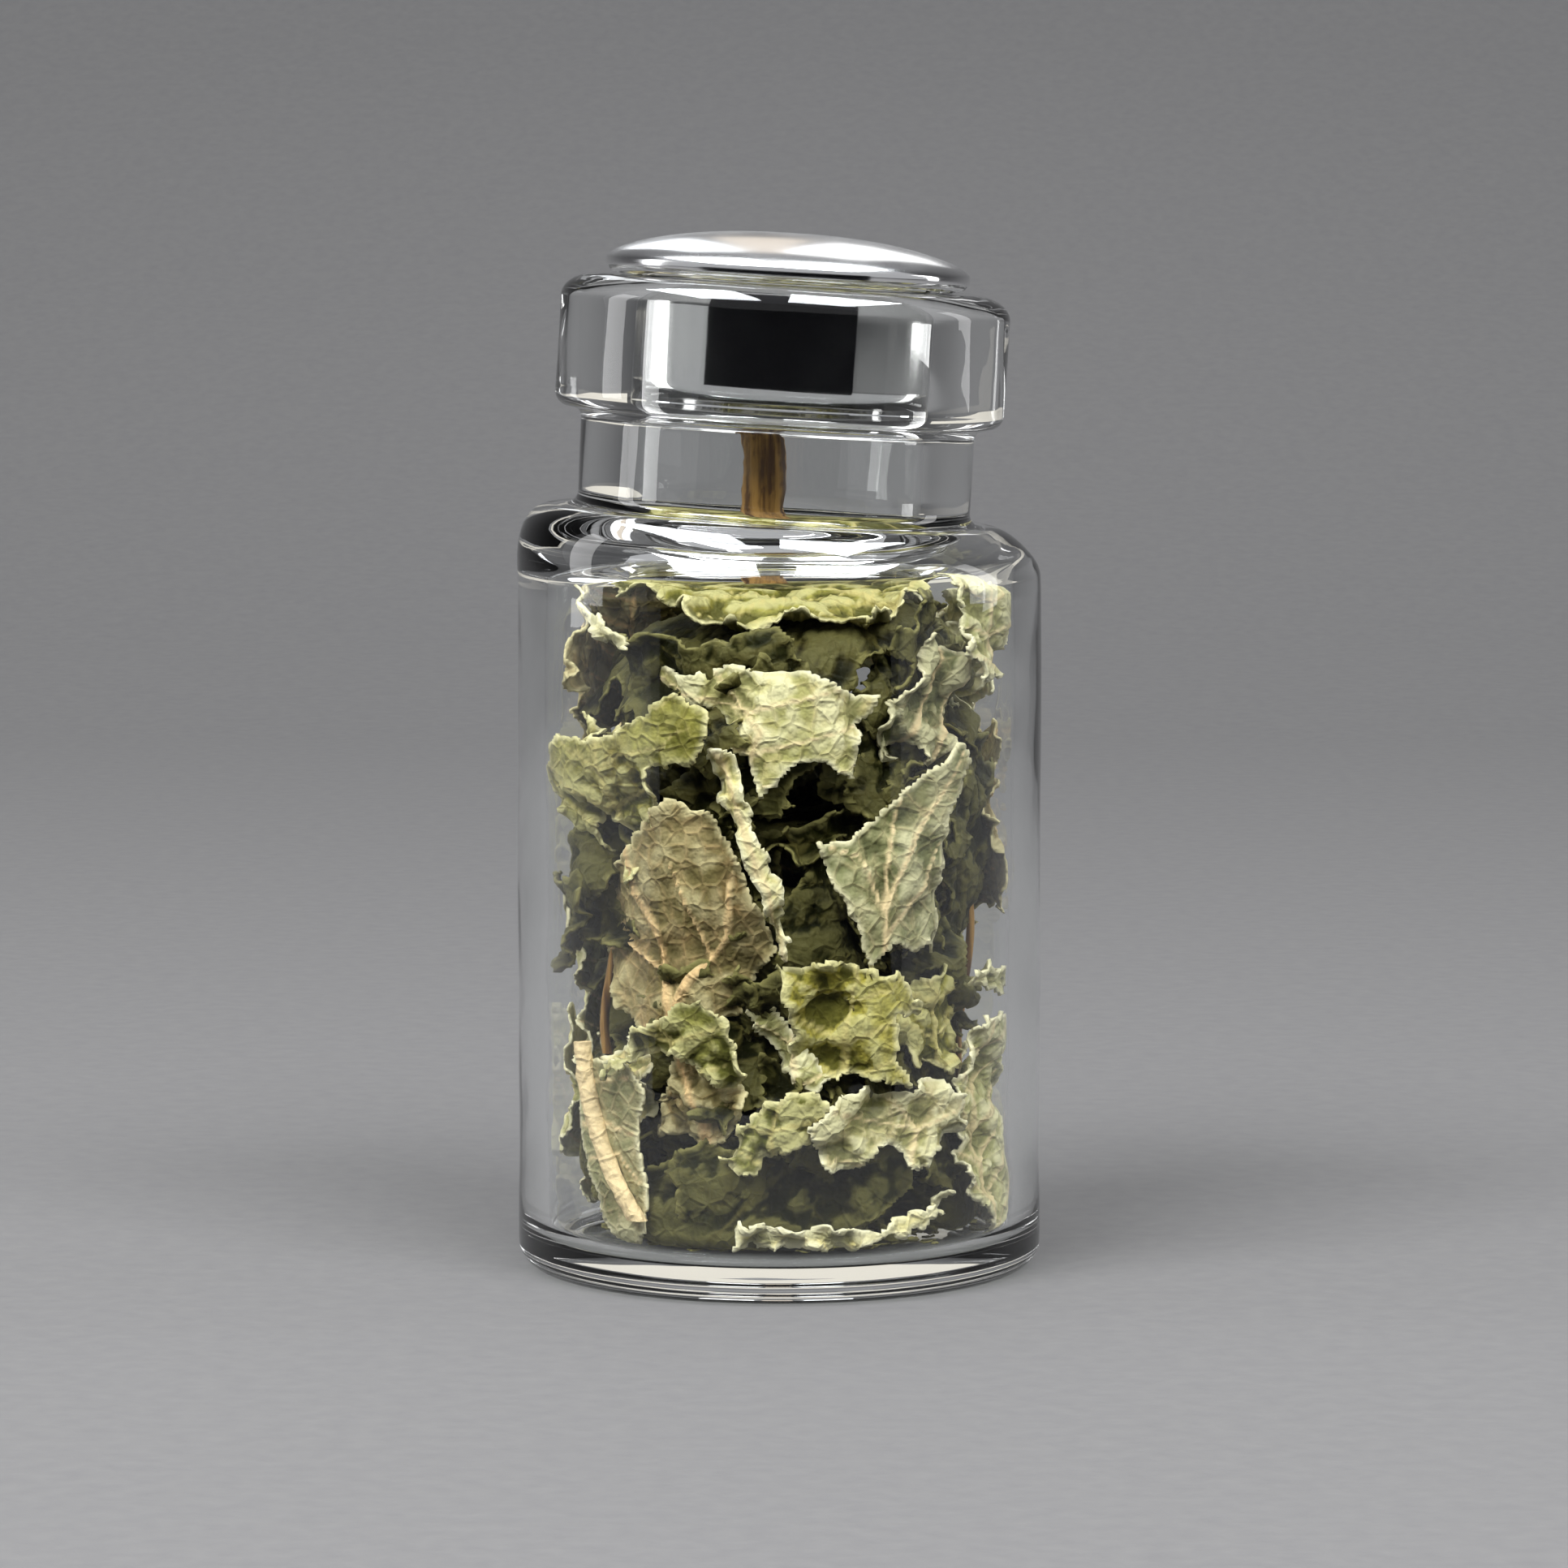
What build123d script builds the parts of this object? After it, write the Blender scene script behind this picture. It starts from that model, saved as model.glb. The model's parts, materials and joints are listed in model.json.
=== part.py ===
from build123d import *
from math import cos, pi, radians, sin
import os

# A small stoppered glass vial: a glass body, leaning neck and thick rolled mouth,
# a polished metal stopper in a thin clear sleeve, and a fill of dried leaf flakes and stalks.
# Millimetres, +Z up, origin at the centre of the base. Azimuth 0 faces -Y and grows towards +X.

# Glass
body_radius = 11.0
wall = 1.25
floor_thickness = 1.4
heel_radius = 1.2
inner_heel_radius = 1.0
side_top = 29.2            # end of the straight side
shoulder_top = 31.7
shoulder_radius = 9.0      # where the shoulder's round ends
neck_lean = 3.5            # degrees, towards +X
neck_shift = -0.25
neck_radius = 8.25
neck_height = 4.0
mouth_radius = 9.4
mouth_side_top = 8.6       # heights above the shoulder, along the leaning neck
mouth_top = 9.6
mouth_flat_radius = 7.75
bore_radius = 6.2
neck_foot = -1.5           # the neck is sunk this far into the shoulder
neck_foot_radius = 8.75
neck_root_round = 0.5
under_round = 0.45         # hollow round under the mouth
lip_round = 0.65           # round at the mouth's lower edge
inner_side_top = 28.9
ceiling_rise = 1.7
bore_reach = 2.0           # the bore opens into the body this far below the shoulder
bore_flare_radius = 7.3
flare_start = 1.1
flare_end = 0.5

# Stopper and its sleeve
plug_radius = 5.85
plug_bottom = 4.3
head_radius = 7.6
head_seat_radius = 6.9
head_rim_height = 0.5
head_rim_thickness = 0.25
head_rise = 2.1            # crest above the mouth
dome_flat_radius = 4.5     # a point on the dome's outline, and its drop below the crest
dome_flat_drop = 0.28
plug_bevel = 0.3
sleeve_recess = 0.35       # the sleeve stops short of the plug's lower end
seat_gap = 0.02
sleeve_inner_radius = 5.90
sleeve_outer_radius = 6.15

# Leaf fill
flake_thickness = 0.3
tear_depth = 0.1           # how deep the torn edges run, as a share of the scrap's size
outer_layer = 9.15         # inside radius of the flakes that lie against the glass
inner_layer = 8.2          # inside radius of the flakes just behind them
backing_layer = 7.1        # inside radius of the darker flakes behind both
shelf_lean = 9.0
shelf_turn = 24.0          # how far each shelf's lean swings round from the one below
back_width = 9.6           # the scraps round the back, in staggered rows
back_height = 7.0
back_bottom = 5.7
back_pitch = 6.7
back_first_azimuth = 118
back_spacing = 58
back_stagger = 10
backing_azimuth = 38       # the two columns of backing flakes stand this far left and right of the front
backing_width = 9.0
backing_height = 6.2
backing_bottom = 5.2
backing_pitch = 6.1
stalk_radius = 0.28
stalk_distance = 7.78      # from the vial's axis to the thin stalks

inner_radius = body_radius - wall
neck_plane = Plane(origin=(neck_shift, 0, shoulder_top),
                   x_dir=(cos(radians(neck_lean)), 0, -sin(radians(neck_lean))),
                   z_dir=(0, -1, 0))
neck_axis = Axis(origin=neck_plane.origin, direction=neck_plane.y_dir)

os.makedirs("parts", exist_ok=True)


def save(built, name):
    """Label one finished piece and write it under its own name."""
    built.part.label = name
    export_step(built.part, f"parts/{name}.step")


# The glass: a straight body, then the leaning neck and rolled mouth, then the hollow.
# Heights in the neck's own outlines are measured along the neck from the shoulder.
with BuildPart() as glass_vial:
    with BuildSketch(Plane.XZ):
        with BuildLine():
            Line((0, 0), (body_radius - heel_radius, 0))
            heel = TangentArc((body_radius - heel_radius, 0), (body_radius, heel_radius), tangent=(1, 0))
            Line(heel @ 1, (body_radius, side_top))
            EllipticalCenterArc((shoulder_radius, side_top), body_radius - shoulder_radius,
                                shoulder_top - side_top, start_angle=0, arc_size=90)
            Polyline((shoulder_radius, shoulder_top), (0, shoulder_top), (0, 0))
        make_face()
    revolve(axis=Axis.Z)
    with BuildSketch(neck_plane):
        with BuildLine():
            Polyline((0, neck_foot), (neck_foot_radius, neck_foot), (neck_foot_radius, 0))
            foot = TangentArc((neck_radius, neck_root_round), (neck_foot_radius, 0), tangent=(0, -1))
            under_edge = neck_radius + under_round
            Line((neck_radius, neck_height - under_round), foot @ 0)
            TangentArc((neck_radius, neck_height - under_round), (under_edge, neck_height), tangent=(0, 1))
            TangentArc((under_edge, neck_height), (mouth_radius, neck_height + lip_round), tangent=(1, 0))
            Line((mouth_radius, neck_height + lip_round), (mouth_radius, mouth_side_top))
            EllipticalCenterArc((mouth_flat_radius, mouth_side_top), mouth_radius - mouth_flat_radius,
                                mouth_top - mouth_side_top, start_angle=0, arc_size=90)
            Polyline((mouth_flat_radius, mouth_top), (0, mouth_top), (0, neck_foot))
        make_face()
    revolve(axis=neck_axis)
    with BuildSketch(Plane.XZ):
        with BuildLine():
            Line((0, floor_thickness), (inner_radius - inner_heel_radius, floor_thickness))
            inner_heel = TangentArc((inner_radius - inner_heel_radius, floor_thickness),
                                    (inner_radius, floor_thickness + inner_heel_radius), tangent=(1, 0))
            Line(inner_heel @ 1, (inner_radius, inner_side_top))
            EllipticalCenterArc((bore_flare_radius, inner_side_top), inner_radius - bore_flare_radius,
                                ceiling_rise, start_angle=0, arc_size=90)
            ceiling = inner_side_top + ceiling_rise
            Polyline((bore_flare_radius, ceiling), (0, ceiling), (0, floor_thickness))
        make_face()
    revolve(axis=Axis.Z, mode=Mode.SUBTRACT)
    with BuildSketch(neck_plane):
        with BuildLine():
            Polyline((0, -bore_reach), (bore_flare_radius, -bore_reach), (bore_flare_radius, -flare_start))
            Spline((bore_flare_radius, -flare_start), (bore_radius, flare_end), tangents=((-0.6, 1), (0, 1)))
            Polyline((bore_radius, flare_end), (bore_radius, mouth_top), (0, mouth_top), (0, -bore_reach))
        make_face()
    revolve(axis=neck_axis, mode=Mode.SUBTRACT)
save(glass_vial, "glass_vial")


# The stopper: one turned metal piece, a plain plug under a thin-edged dome.
with BuildPart() as metal_stopper:
    with BuildSketch(neck_plane):
        with BuildLine():
            seat = mouth_top + seat_gap
            rim = seat + head_rim_height
            rim_top = rim + head_rim_thickness
            crest = mouth_top + head_rise
            Polyline((0, plug_bottom), (plug_radius - plug_bevel, plug_bottom),
                     (plug_radius, plug_bottom + plug_bevel), (plug_radius, seat), (head_seat_radius, seat))
            TangentArc((head_seat_radius, seat), (head_radius, rim), tangent=(1, 0))
            Line((head_radius, rim), (head_radius, rim_top))
            Spline((head_radius, rim_top), (dome_flat_radius, crest - dome_flat_drop), (0, crest),
                   tangents=((-1, 0.75), (-1, 0)))
            Line((0, crest), (0, plug_bottom))
        make_face()
    revolve(axis=neck_axis)
save(metal_stopper, "metal_stopper")


# The sleeve: a thin clear tube that seals the plug in the bore.
with BuildPart() as seal_sleeve:
    with BuildSketch(neck_plane):
        sleeve_low = plug_bottom + sleeve_recess
        with Locations(((sleeve_inner_radius + sleeve_outer_radius) / 2, (sleeve_low + mouth_top) / 2)):
            Rectangle(sleeve_outer_radius - sleeve_inner_radius, mouth_top - sleeve_low)
    revolve(axis=neck_axis)
save(seal_sleeve, "seal_sleeve")


def ragged(width, height, seed, corners=11):
    """Corners of a torn leaf scrap that fills a width by height box."""
    points = []
    for corner in range(corners):
        angle = 2 * pi * corner / corners
        reach = 1 - tear_depth + tear_depth * sin(seed * 1.7 + corner * 2.4)
        points.append((width / 2 * reach * cos(angle), height / 2 * reach * sin(angle)))
    return points


def wall_flake(name, azimuth, middle, width, height, layer, turn, seed):
    """A scrap standing against the glass, cut from a thin sheet curved about the vial's axis."""
    toward = radians(azimuth)
    facing = Plane(origin=(0, 0, middle), x_dir=(cos(toward), sin(toward), 0),
                   z_dir=(sin(toward), -cos(toward), 0))
    with BuildPart() as flake:
        with BuildSketch(facing):
            Polygon(*ragged(width, height, seed), rotation=turn, align=None)
        extrude(amount=inner_radius)
        with BuildSketch(Plane.XY):
            Circle(layer + flake_thickness)
            Circle(layer, mode=Mode.SUBTRACT)
        extrude(amount=shoulder_top, mode=Mode.INTERSECT)
    save(flake, name)


def shelf_leaf(name, middle, radius, lean_toward, seed):
    """A larger leaf lying across the middle of the vial."""
    toward = radians(lean_toward)
    lean = radians(shelf_lean)
    lying = Plane(origin=(0, 0, middle), x_dir=(cos(toward), sin(toward), 0),
                  z_dir=(sin(toward) * sin(lean), -cos(toward) * sin(lean), cos(lean)))
    with BuildPart() as leaf:
        with BuildSketch(lying):
            Polygon(*ragged(2 * radius, 2 * radius, seed, corners=17), align=None)
        extrude(amount=flake_thickness / 2, both=True)
    save(leaf, name)


# Flakes against the glass, seen from the front: azimuth, height, width, tallness, layer, turn.
front_flakes = {
    "flake_top_left_spike": (-55, 27.8, 5.6, 1.9, outer_layer, -24),
    "flake_top_right_upright": (64, 27.5, 4.2, 4.2, outer_layer, 0),
    "flake_star": (-6, 23.2, 10.4, 4.9, inner_layer, 0),
    "flake_right_striated": (47, 24.3, 4.6, 4.8, inner_layer, 0),
    "flake_far_left_crumb": (-72, 22.2, 2.8, 2.2, inner_layer, 0),
    "flake_left_arch": (-42, 20.9, 8.0, 7.0, outer_layer, 0),
    "flake_centre_strip": (-6.5, 18.0, 1.6, 9.2, outer_layer, 13),
    "flake_veined_left": (-32, 15.4, 8.4, 8.8, inner_layer, 0),
    "flake_dark_left_point": (-67, 15.1, 4.2, 4.0, outer_layer, 0),
    "flake_veined_right": (30, 18.2, 5.4, 7.8, outer_layer, 0),
    "flake_right_dark_column": (70, 18.2, 5.4, 9.2, inner_layer, 0),
    "flake_yellow_crumple": (17, 11.4, 5.5, 4.8, outer_layer, 0),
    "flake_pale_strip": (2, 10.5, 3.4, 3.4, inner_layer, 0),
    "flake_olive_arch": (-28, 10.5, 6.0, 3.2, outer_layer, 0),
    "flake_right_olive": (48, 11.3, 5.4, 4.0, inner_layer, 0),
    "flake_right_curl": (64, 12.7, 3.2, 1.7, outer_layer, 0),
    "flake_left_pale": (-49, 8.5, 3.0, 3.6, inner_layer, 0),
    "flake_stemmed": (-55, 5.6, 5.6, 7.0, outer_layer, 0),
    "flake_brown": (-23, 8.2, 4.0, 3.4, inner_layer, 0),
    "flake_olive_round": (-2, 7.0, 3.8, 2.9, outer_layer, 0),
    "flake_cream": (28, 6.9, 5.8, 3.7, outer_layer, 0),
    "flake_right_pale": (63, 6.4, 4.6, 8.2, outer_layer, 0),
    "flake_bottom_dark": (-5, 4.1, 10.6, 4.0, inner_layer, 0),
    "flake_bottom_ribbon": (17, 3.0, 8.8, 1.9, outer_layer, 0),
}
for seed, (name, (azimuth, middle, width, height, layer, turn)) in enumerate(front_flakes.items()):
    wall_flake(name, azimuth, middle, width, height, layer, turn, seed)

# The same kind of scraps round the back, in staggered rows that alternate between two layers.
rows = ("low", "lower_middle", "upper_middle", "high")
back_places = ("right", "rear", "left")
for row, row_name in enumerate(rows):
    for place, place_name in enumerate(back_places):
        azimuth = back_first_azimuth + back_spacing * place + back_stagger * (row % 2)
        middle = back_bottom + back_pitch * row
        layer = (outer_layer, inner_layer)[(row + place) % 2]
        seed = len(front_flakes) + len(back_places) * row + place
        wall_flake(f"flake_{place_name}_{row_name}", azimuth, middle, back_width, back_height, layer, 0, seed)

# Darker flakes that back the front ones and close the gaps between them.
for row, row_name in enumerate(rows):
    for side, side_name in ((-1, "left"), (1, "right")):
        azimuth = side * backing_azimuth + back_stagger * (row % 2)
        middle = backing_bottom + backing_pitch * row
        wall_flake(f"flake_behind_{side_name}_{row_name}", azimuth, middle, backing_width, backing_height,
                   backing_layer, 0, 40 + 2 * row + side)

# Leaves across the middle, one above another: height and radius. Each leans a little further round.
shelf_leaves = {
    "leaf_floor_crumb": (3.4, 6.8),
    "leaf_floor_fold": (6.6, 6.8),
    "leaf_lower_wave": (9.8, 6.8),
    "leaf_broad_fold": (13.0, 6.8),
    "leaf_middle_fold": (16.2, 6.8),
    "leaf_upper_wave": (19.5, 6.8),
    "leaf_upper_fold": (22.8, 6.8),
    "leaf_dark_underleaf": (26.4, 7.9),
    "leaf_top_crumple": (28.6, 7.9),
}
for shelf, (name, (middle, radius)) in enumerate(shelf_leaves.items()):
    shelf_leaf(name, middle, radius, shelf_turn * shelf, 60 + shelf)


def stalk(name, low_end, high_end, long_radius, short_radius):
    """A straight piece of dry stalk with an oval section."""
    with BuildPart() as rod:
        with BuildLine() as run:
            Line(low_end, high_end)
        with BuildSketch(Plane(origin=low_end, z_dir=run.line % 0, x_dir=(1, 0, 0))):
            Ellipse(long_radius, short_radius)
        sweep(path=run.line)
    save(rod, name)


stalk("stalk_in_neck", (-0.3, -1.2, 29.7), (-1.0, -1.0, 35.7), 0.9, 0.55)
for name, azimuth, low, high in (("stalk_front", -62, 9.5, 15.5), ("stalk_right", 84, 8.0, 17.0),
                                 ("stalk_rear", 196, 12.0, 22.0)):
    toward = radians(azimuth)
    spot = (stalk_distance * sin(toward), -stalk_distance * cos(toward))
    stalk(name, (*spot, low), (*spot, high), stalk_radius, stalk_radius)
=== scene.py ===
# %% [markdown]
# # A glass vial of dried leaf
#
# The vial is a small clear glass bottle, closed by a polished metal stopper and packed with dried leaf.
# The solid model gives every size and place, in metres, with +Z up and the front facing -Y. This lesson
# builds the looks around it: thick wavy glass, mirror metal, and crumpled leaf scraps.

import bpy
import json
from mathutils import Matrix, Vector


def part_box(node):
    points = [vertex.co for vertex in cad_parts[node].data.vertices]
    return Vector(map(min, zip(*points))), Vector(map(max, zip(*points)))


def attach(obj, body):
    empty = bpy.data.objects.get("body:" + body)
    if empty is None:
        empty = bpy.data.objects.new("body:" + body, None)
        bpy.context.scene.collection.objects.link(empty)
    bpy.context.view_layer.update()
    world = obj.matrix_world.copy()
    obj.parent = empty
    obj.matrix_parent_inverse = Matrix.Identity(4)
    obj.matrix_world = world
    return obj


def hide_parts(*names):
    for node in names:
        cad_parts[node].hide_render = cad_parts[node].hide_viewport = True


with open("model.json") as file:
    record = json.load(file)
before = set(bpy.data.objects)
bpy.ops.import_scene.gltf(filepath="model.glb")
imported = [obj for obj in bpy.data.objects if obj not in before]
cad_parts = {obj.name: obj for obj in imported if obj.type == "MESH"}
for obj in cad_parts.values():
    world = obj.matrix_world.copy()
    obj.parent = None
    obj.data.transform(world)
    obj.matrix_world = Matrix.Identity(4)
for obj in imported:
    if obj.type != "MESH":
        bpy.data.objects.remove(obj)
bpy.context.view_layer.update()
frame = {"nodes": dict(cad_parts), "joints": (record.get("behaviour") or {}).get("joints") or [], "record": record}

# %% Imports and a few shared sizes
import json
import math
import random

import bpy
import numpy as np
from mathutils import Matrix, Vector

MM = 0.001
record = frame["record"]
slot_of = {part["node"]: part["material_slot"] for part in record["subparts"]}
lift = next(joint for joint in frame["joints"] if joint["name"] == "stopper_lift")
twist = next(joint for joint in frame["joints"] if joint["name"] == "stopper_twist")
neck_root = Vector(twist["pos_m"])
neck_lean = math.atan2(lift["axis"][0], lift["axis"][2])
print("the neck leans", round(math.degrees(neck_lean), 2), "degrees from", neck_root)

# %% [markdown]
# ## The camera
#
# The camera comes first, because everything is judged through it. It stands about as high as the stopper,
# a little over a quarter of a metre away, and looks slightly down, so that the floor of the vial is seen
# as a thin ellipse and the mouth almost edge on. A long lens keeps the glass walls nearly upright.

# %% Camera
camera_height = 45.8 * MM
camera_distance = 265 * MM
camera_pitch = math.radians(5.49)
camera_data = bpy.data.cameras.new("camera")
camera_data.sensor_width = 36
camera_data.lens = 145.6
camera_data.clip_start = 10 * MM
camera = bpy.data.objects.new("camera", camera_data)
bpy.context.scene.collection.objects.link(camera)
camera.location = (0.2 * MM, -camera_distance, camera_height)
camera.rotation_euler = (math.pi / 2 - camera_pitch, 0, 0)
bpy.context.scene.camera = camera

# %% [markdown]
# ## Shader sums
#
# Materials here are node trees. A small class wraps one socket and gives it Python's own operators, so
# that a line such as `0.6 + blotch * 0.2` adds the Math nodes by itself. Every other node comes from one
# method.


# %% A socket that can be used in sums
class Value:
    """One output socket, usable with + and * and with plain numbers."""

    def __init__(self, finish, socket):
        self.finish = finish
        self.socket = socket

    def _math(self, operation, first, second):
        return self.finish.node("ShaderNodeMath", {"operation": operation}, {0: first, 1: second})

    def __add__(self, other):
        return self._math("ADD", self, other)

    __radd__ = __add__

    def __mul__(self, other):
        return self._math("MULTIPLY", self, other)

    __rmul__ = __mul__

    def power(self, other):
        return self._math("POWER", self, other)


def opaque(colour):
    """A colour with full alpha; a value passes through."""
    return colour if isinstance(colour, Value) else (*colour, 1)


class Finish:
    """A material and the nodes that make it."""

    def __init__(self, name):
        self.material = bpy.data.materials.new(name)
        self.material.use_nodes = True
        self.tree = self.material.node_tree
        self.shader = self.tree.nodes["Principled BSDF"]
        self.output = self.tree.nodes["Material Output"]

    def node(self, kind, settings=None, inputs=None, out=0):
        """Add a node: its settings first, then the values or links of its sockets."""
        made = self.tree.nodes.new(kind)
        for name, value in (settings or {}).items():
            setattr(made, name, value)
        for name, value in (inputs or {}).items():
            self.plug_in(made.inputs[name], value)
        return Value(self, made.outputs[out])

    def plug_in(self, socket, value):
        """Link a value to a socket, or set the socket to a number or colour."""
        if isinstance(value, Value):
            self.tree.links.new(value.socket, socket)
        else:
            socket.default_value = value

    def set(self, **inputs):
        """Set or link sockets of the main shader; underscores stand for spaces."""
        for name, value in inputs.items():
            self.plug_in(self.shader.inputs[name.replace("_", " ")], value)

    def place(self, stretch=(1, 1, 1)):
        """Object coordinates, stretched."""
        where = self.node("ShaderNodeTexCoord", out="Object")
        return self.node("ShaderNodeMapping", {}, {"Vector": where, "Scale": stretch})

    def noise(self, scale, detail=3.0, where=None):
        sockets = {"Vector": where or self.place(), "Scale": scale, "Detail": detail}
        return self.node("ShaderNodeTexNoise", {}, sockets)

    def remap(self, value, low, high, to_low=0.0, to_high=1.0):
        """Stretch the span from low to high into another span, and stop at its ends."""
        return self.node("ShaderNodeMapRange", {}, {0: value, 1: low, 2: high, 3: to_low, 4: to_high})

    def mark(self, name):
        """A number that each point of the mesh carries."""
        return self.node("ShaderNodeAttribute", {"attribute_name": name}, out="Fac")

    def blend(self, share, first, second):
        """Mix two colours by a share."""
        sockets = {0: share, 6: opaque(first), 7: opaque(second)}
        return self.node("ShaderNodeMix", {"data_type": "RGBA"}, sockets, out=2)

    def bump(self, height, strength, distance):
        sockets = {"Height": height, "Strength": strength, "Distance": distance}
        return self.node("ShaderNodeBump", {}, sockets)


# %% [markdown]
# ## Floor and backdrop
#
# The vial stands on a sheet of plain grey paper that curves up behind it, as in a photographer's studio.
# It could be two planes, but their corner would show through the glass. So the far edge of one plane is
# extruded in short turns, which makes a sweep with no corner.

# %% Floor and backdrop
studio_paper = Finish("studio_paper")
grain = studio_paper.noise(900, 4)
studio_paper.set(Base_Color=studio_paper.blend(grain, (0.155, 0.155, 0.16), (0.185, 0.185, 0.185)),
                 Roughness=0.9, Specular_IOR_Level=0.0)
studio_paper.set(Normal=studio_paper.bump(grain, 0.3, 0.0002))


def deselect():
    """Leave edit mode and select nothing, so that the next operator acts only on what it makes."""
    if bpy.context.object and bpy.context.object.mode != "OBJECT":
        bpy.ops.object.mode_set(mode="OBJECT")
    bpy.ops.object.select_all(action="DESELECT")


def pick_edges(piece, wanted):
    """Select the edges that a test accepts, given their two vertices, and stay in edit mode."""
    bpy.ops.object.mode_set(mode="EDIT")
    bpy.ops.mesh.select_mode(type="EDGE")
    bpy.ops.mesh.select_all(action="DESELECT")
    bpy.ops.object.mode_set(mode="OBJECT")
    for edge in piece.data.edges:
        edge.select = wanted(*(piece.data.vertices[index].co for index in edge.vertices))
    bpy.ops.object.mode_set(mode="EDIT")


sheet_size, sweep_start, sweep_radius, sweep_steps, back_height = 4, 0.25, 0.45, 12, 1.0
deselect()
bpy.ops.mesh.primitive_plane_add(size=sheet_size, location=(0, 0, 0))
paper = bpy.context.object
paper.name = "paper_sweep"
bpy.ops.object.mode_set(mode="EDIT")
bpy.ops.mesh.select_all(action="SELECT")
bpy.ops.transform.translate(value=(0, sweep_start - sheet_size / 2, 0))
pick_edges(paper, lambda one, other: one.y > 0 and other.y > 0)
reach = sweep_radius * math.pi / 2 / sweep_steps
for step in range(sweep_steps):
    angle = math.pi / 2 * (step + 0.5) / sweep_steps
    bpy.ops.mesh.extrude_region_move(
        TRANSFORM_OT_translate={"value": (0, reach * math.cos(angle), reach * math.sin(angle))})
bpy.ops.mesh.extrude_region_move(TRANSFORM_OT_translate={"value": (0, 0, back_height)})
bpy.ops.object.mode_set(mode="OBJECT")
bpy.ops.object.shade_smooth()
paper.data.materials.append(studio_paper.material)
print("the paper has", len(paper.data.polygons), "faces")

# %% [markdown]
# ## Soft light
#
# The light is soft and comes from above the front. Two wide panels light the leaves. They are hidden from
# the glass and the metal, because a wide even panel would fog both. One panel lights the paper behind.
# Narrow, weak panels stand at the sides and high at the back, and those do show: they draw the upright
# glints in the glass and the patches in the dome.


# %% Light panels
def light_panel(name, place, size, watts, colour=(1, 1, 1), aim=(0, 0, 0.03)):
    """A soft rectangular lamp aimed at the middle of the vial."""
    lamp = bpy.data.lights.new(name, "AREA")
    lamp.shape = "RECTANGLE"
    lamp.size, lamp.size_y = size
    lamp.energy = watts
    lamp.color = colour
    made = bpy.data.objects.new(name, lamp)
    bpy.context.scene.collection.objects.link(made)
    made.location = place
    made.rotation_euler = (Vector(aim) - Vector(place)).to_track_quat("-Z", "Y").to_euler()
    return made


warm, cool = (1, 0.86, 0.70), (0.94, 0.97, 1)
for side, place, watts in (("left", (-0.20, -0.25, 0.37), 2.9), ("right", (0.18, -0.26, 0.37), 2.2)):
    soft = light_panel(f"front_{side}_panel", place, (0.26, 0.17), watts)
    soft.visible_transmission = soft.visible_glossy = False
light_panel("backdrop_panel", (0, 0.25, 0.75), (0.5, 0.2), 1.2, aim=(0, 0.7, 0.15))
light_panel("left_panel", (-0.40, 0.04, 0.14), (0.10, 0.30), 0.35)
light_panel("right_panel", (0.40, 0.10, 0.14), (0.08, 0.30), 0.22)
light_panel("back_left_panel", (-0.045, 0.38, 0.24), (0.05, 0.18), 0.06, cool)
light_panel("back_right_panel", (0.048, 0.38, 0.24), (0.06, 0.18), 0.06)
light_panel("back_warm_panel", (0.0, 0.38, 0.24), (0.03, 0.18), 0.012, warm)


# %% [markdown]
# ## Cards for the glass and the metal
#
# Polished metal and clear glass have no look of their own: they show what stands round them. Strong lamps
# would make the glints, but would burn out the leaves and throw bright rings on the floor. So cards are
# hung that only the glass and the metal can see, and that light nothing. Two very bright cards overhead
# give the glints on the shoulder and the mouth. A low cream card behind tints the foot of the glass. A
# curved black card stands close in front, and its mirror image is the black field in the stopper's plug.

# %% How a card is made and hidden
def card_finish(name, glow, strength):
    """A card that lights nothing: its glow is cut off for light that has already met a dull surface."""
    finish = Finish(name)
    finish.set(Base_Color=(0.005, 0.005, 0.006, 1), Roughness=0.95, Specular_IOR_Level=0.0)
    if strength:
        bounces = finish.node("ShaderNodeLightPath", out="Diffuse Depth")
        direct = finish.node("ShaderNodeMath", {"operation": "LESS_THAN"}, {0: bounces, 1: 0.5})
        finish.set(Emission_Color=finish.blend(direct, (0, 0, 0), glow), Emission_Strength=strength)
    return finish


def hide_card(card, finish, mirrored=True):
    """Keep a card out of the camera's direct view and out of the room's light."""
    card.visible_glossy = mirrored
    card.data.materials.append(finish.material)
    card.visible_camera = card.visible_diffuse = card.visible_shadow = False


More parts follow.
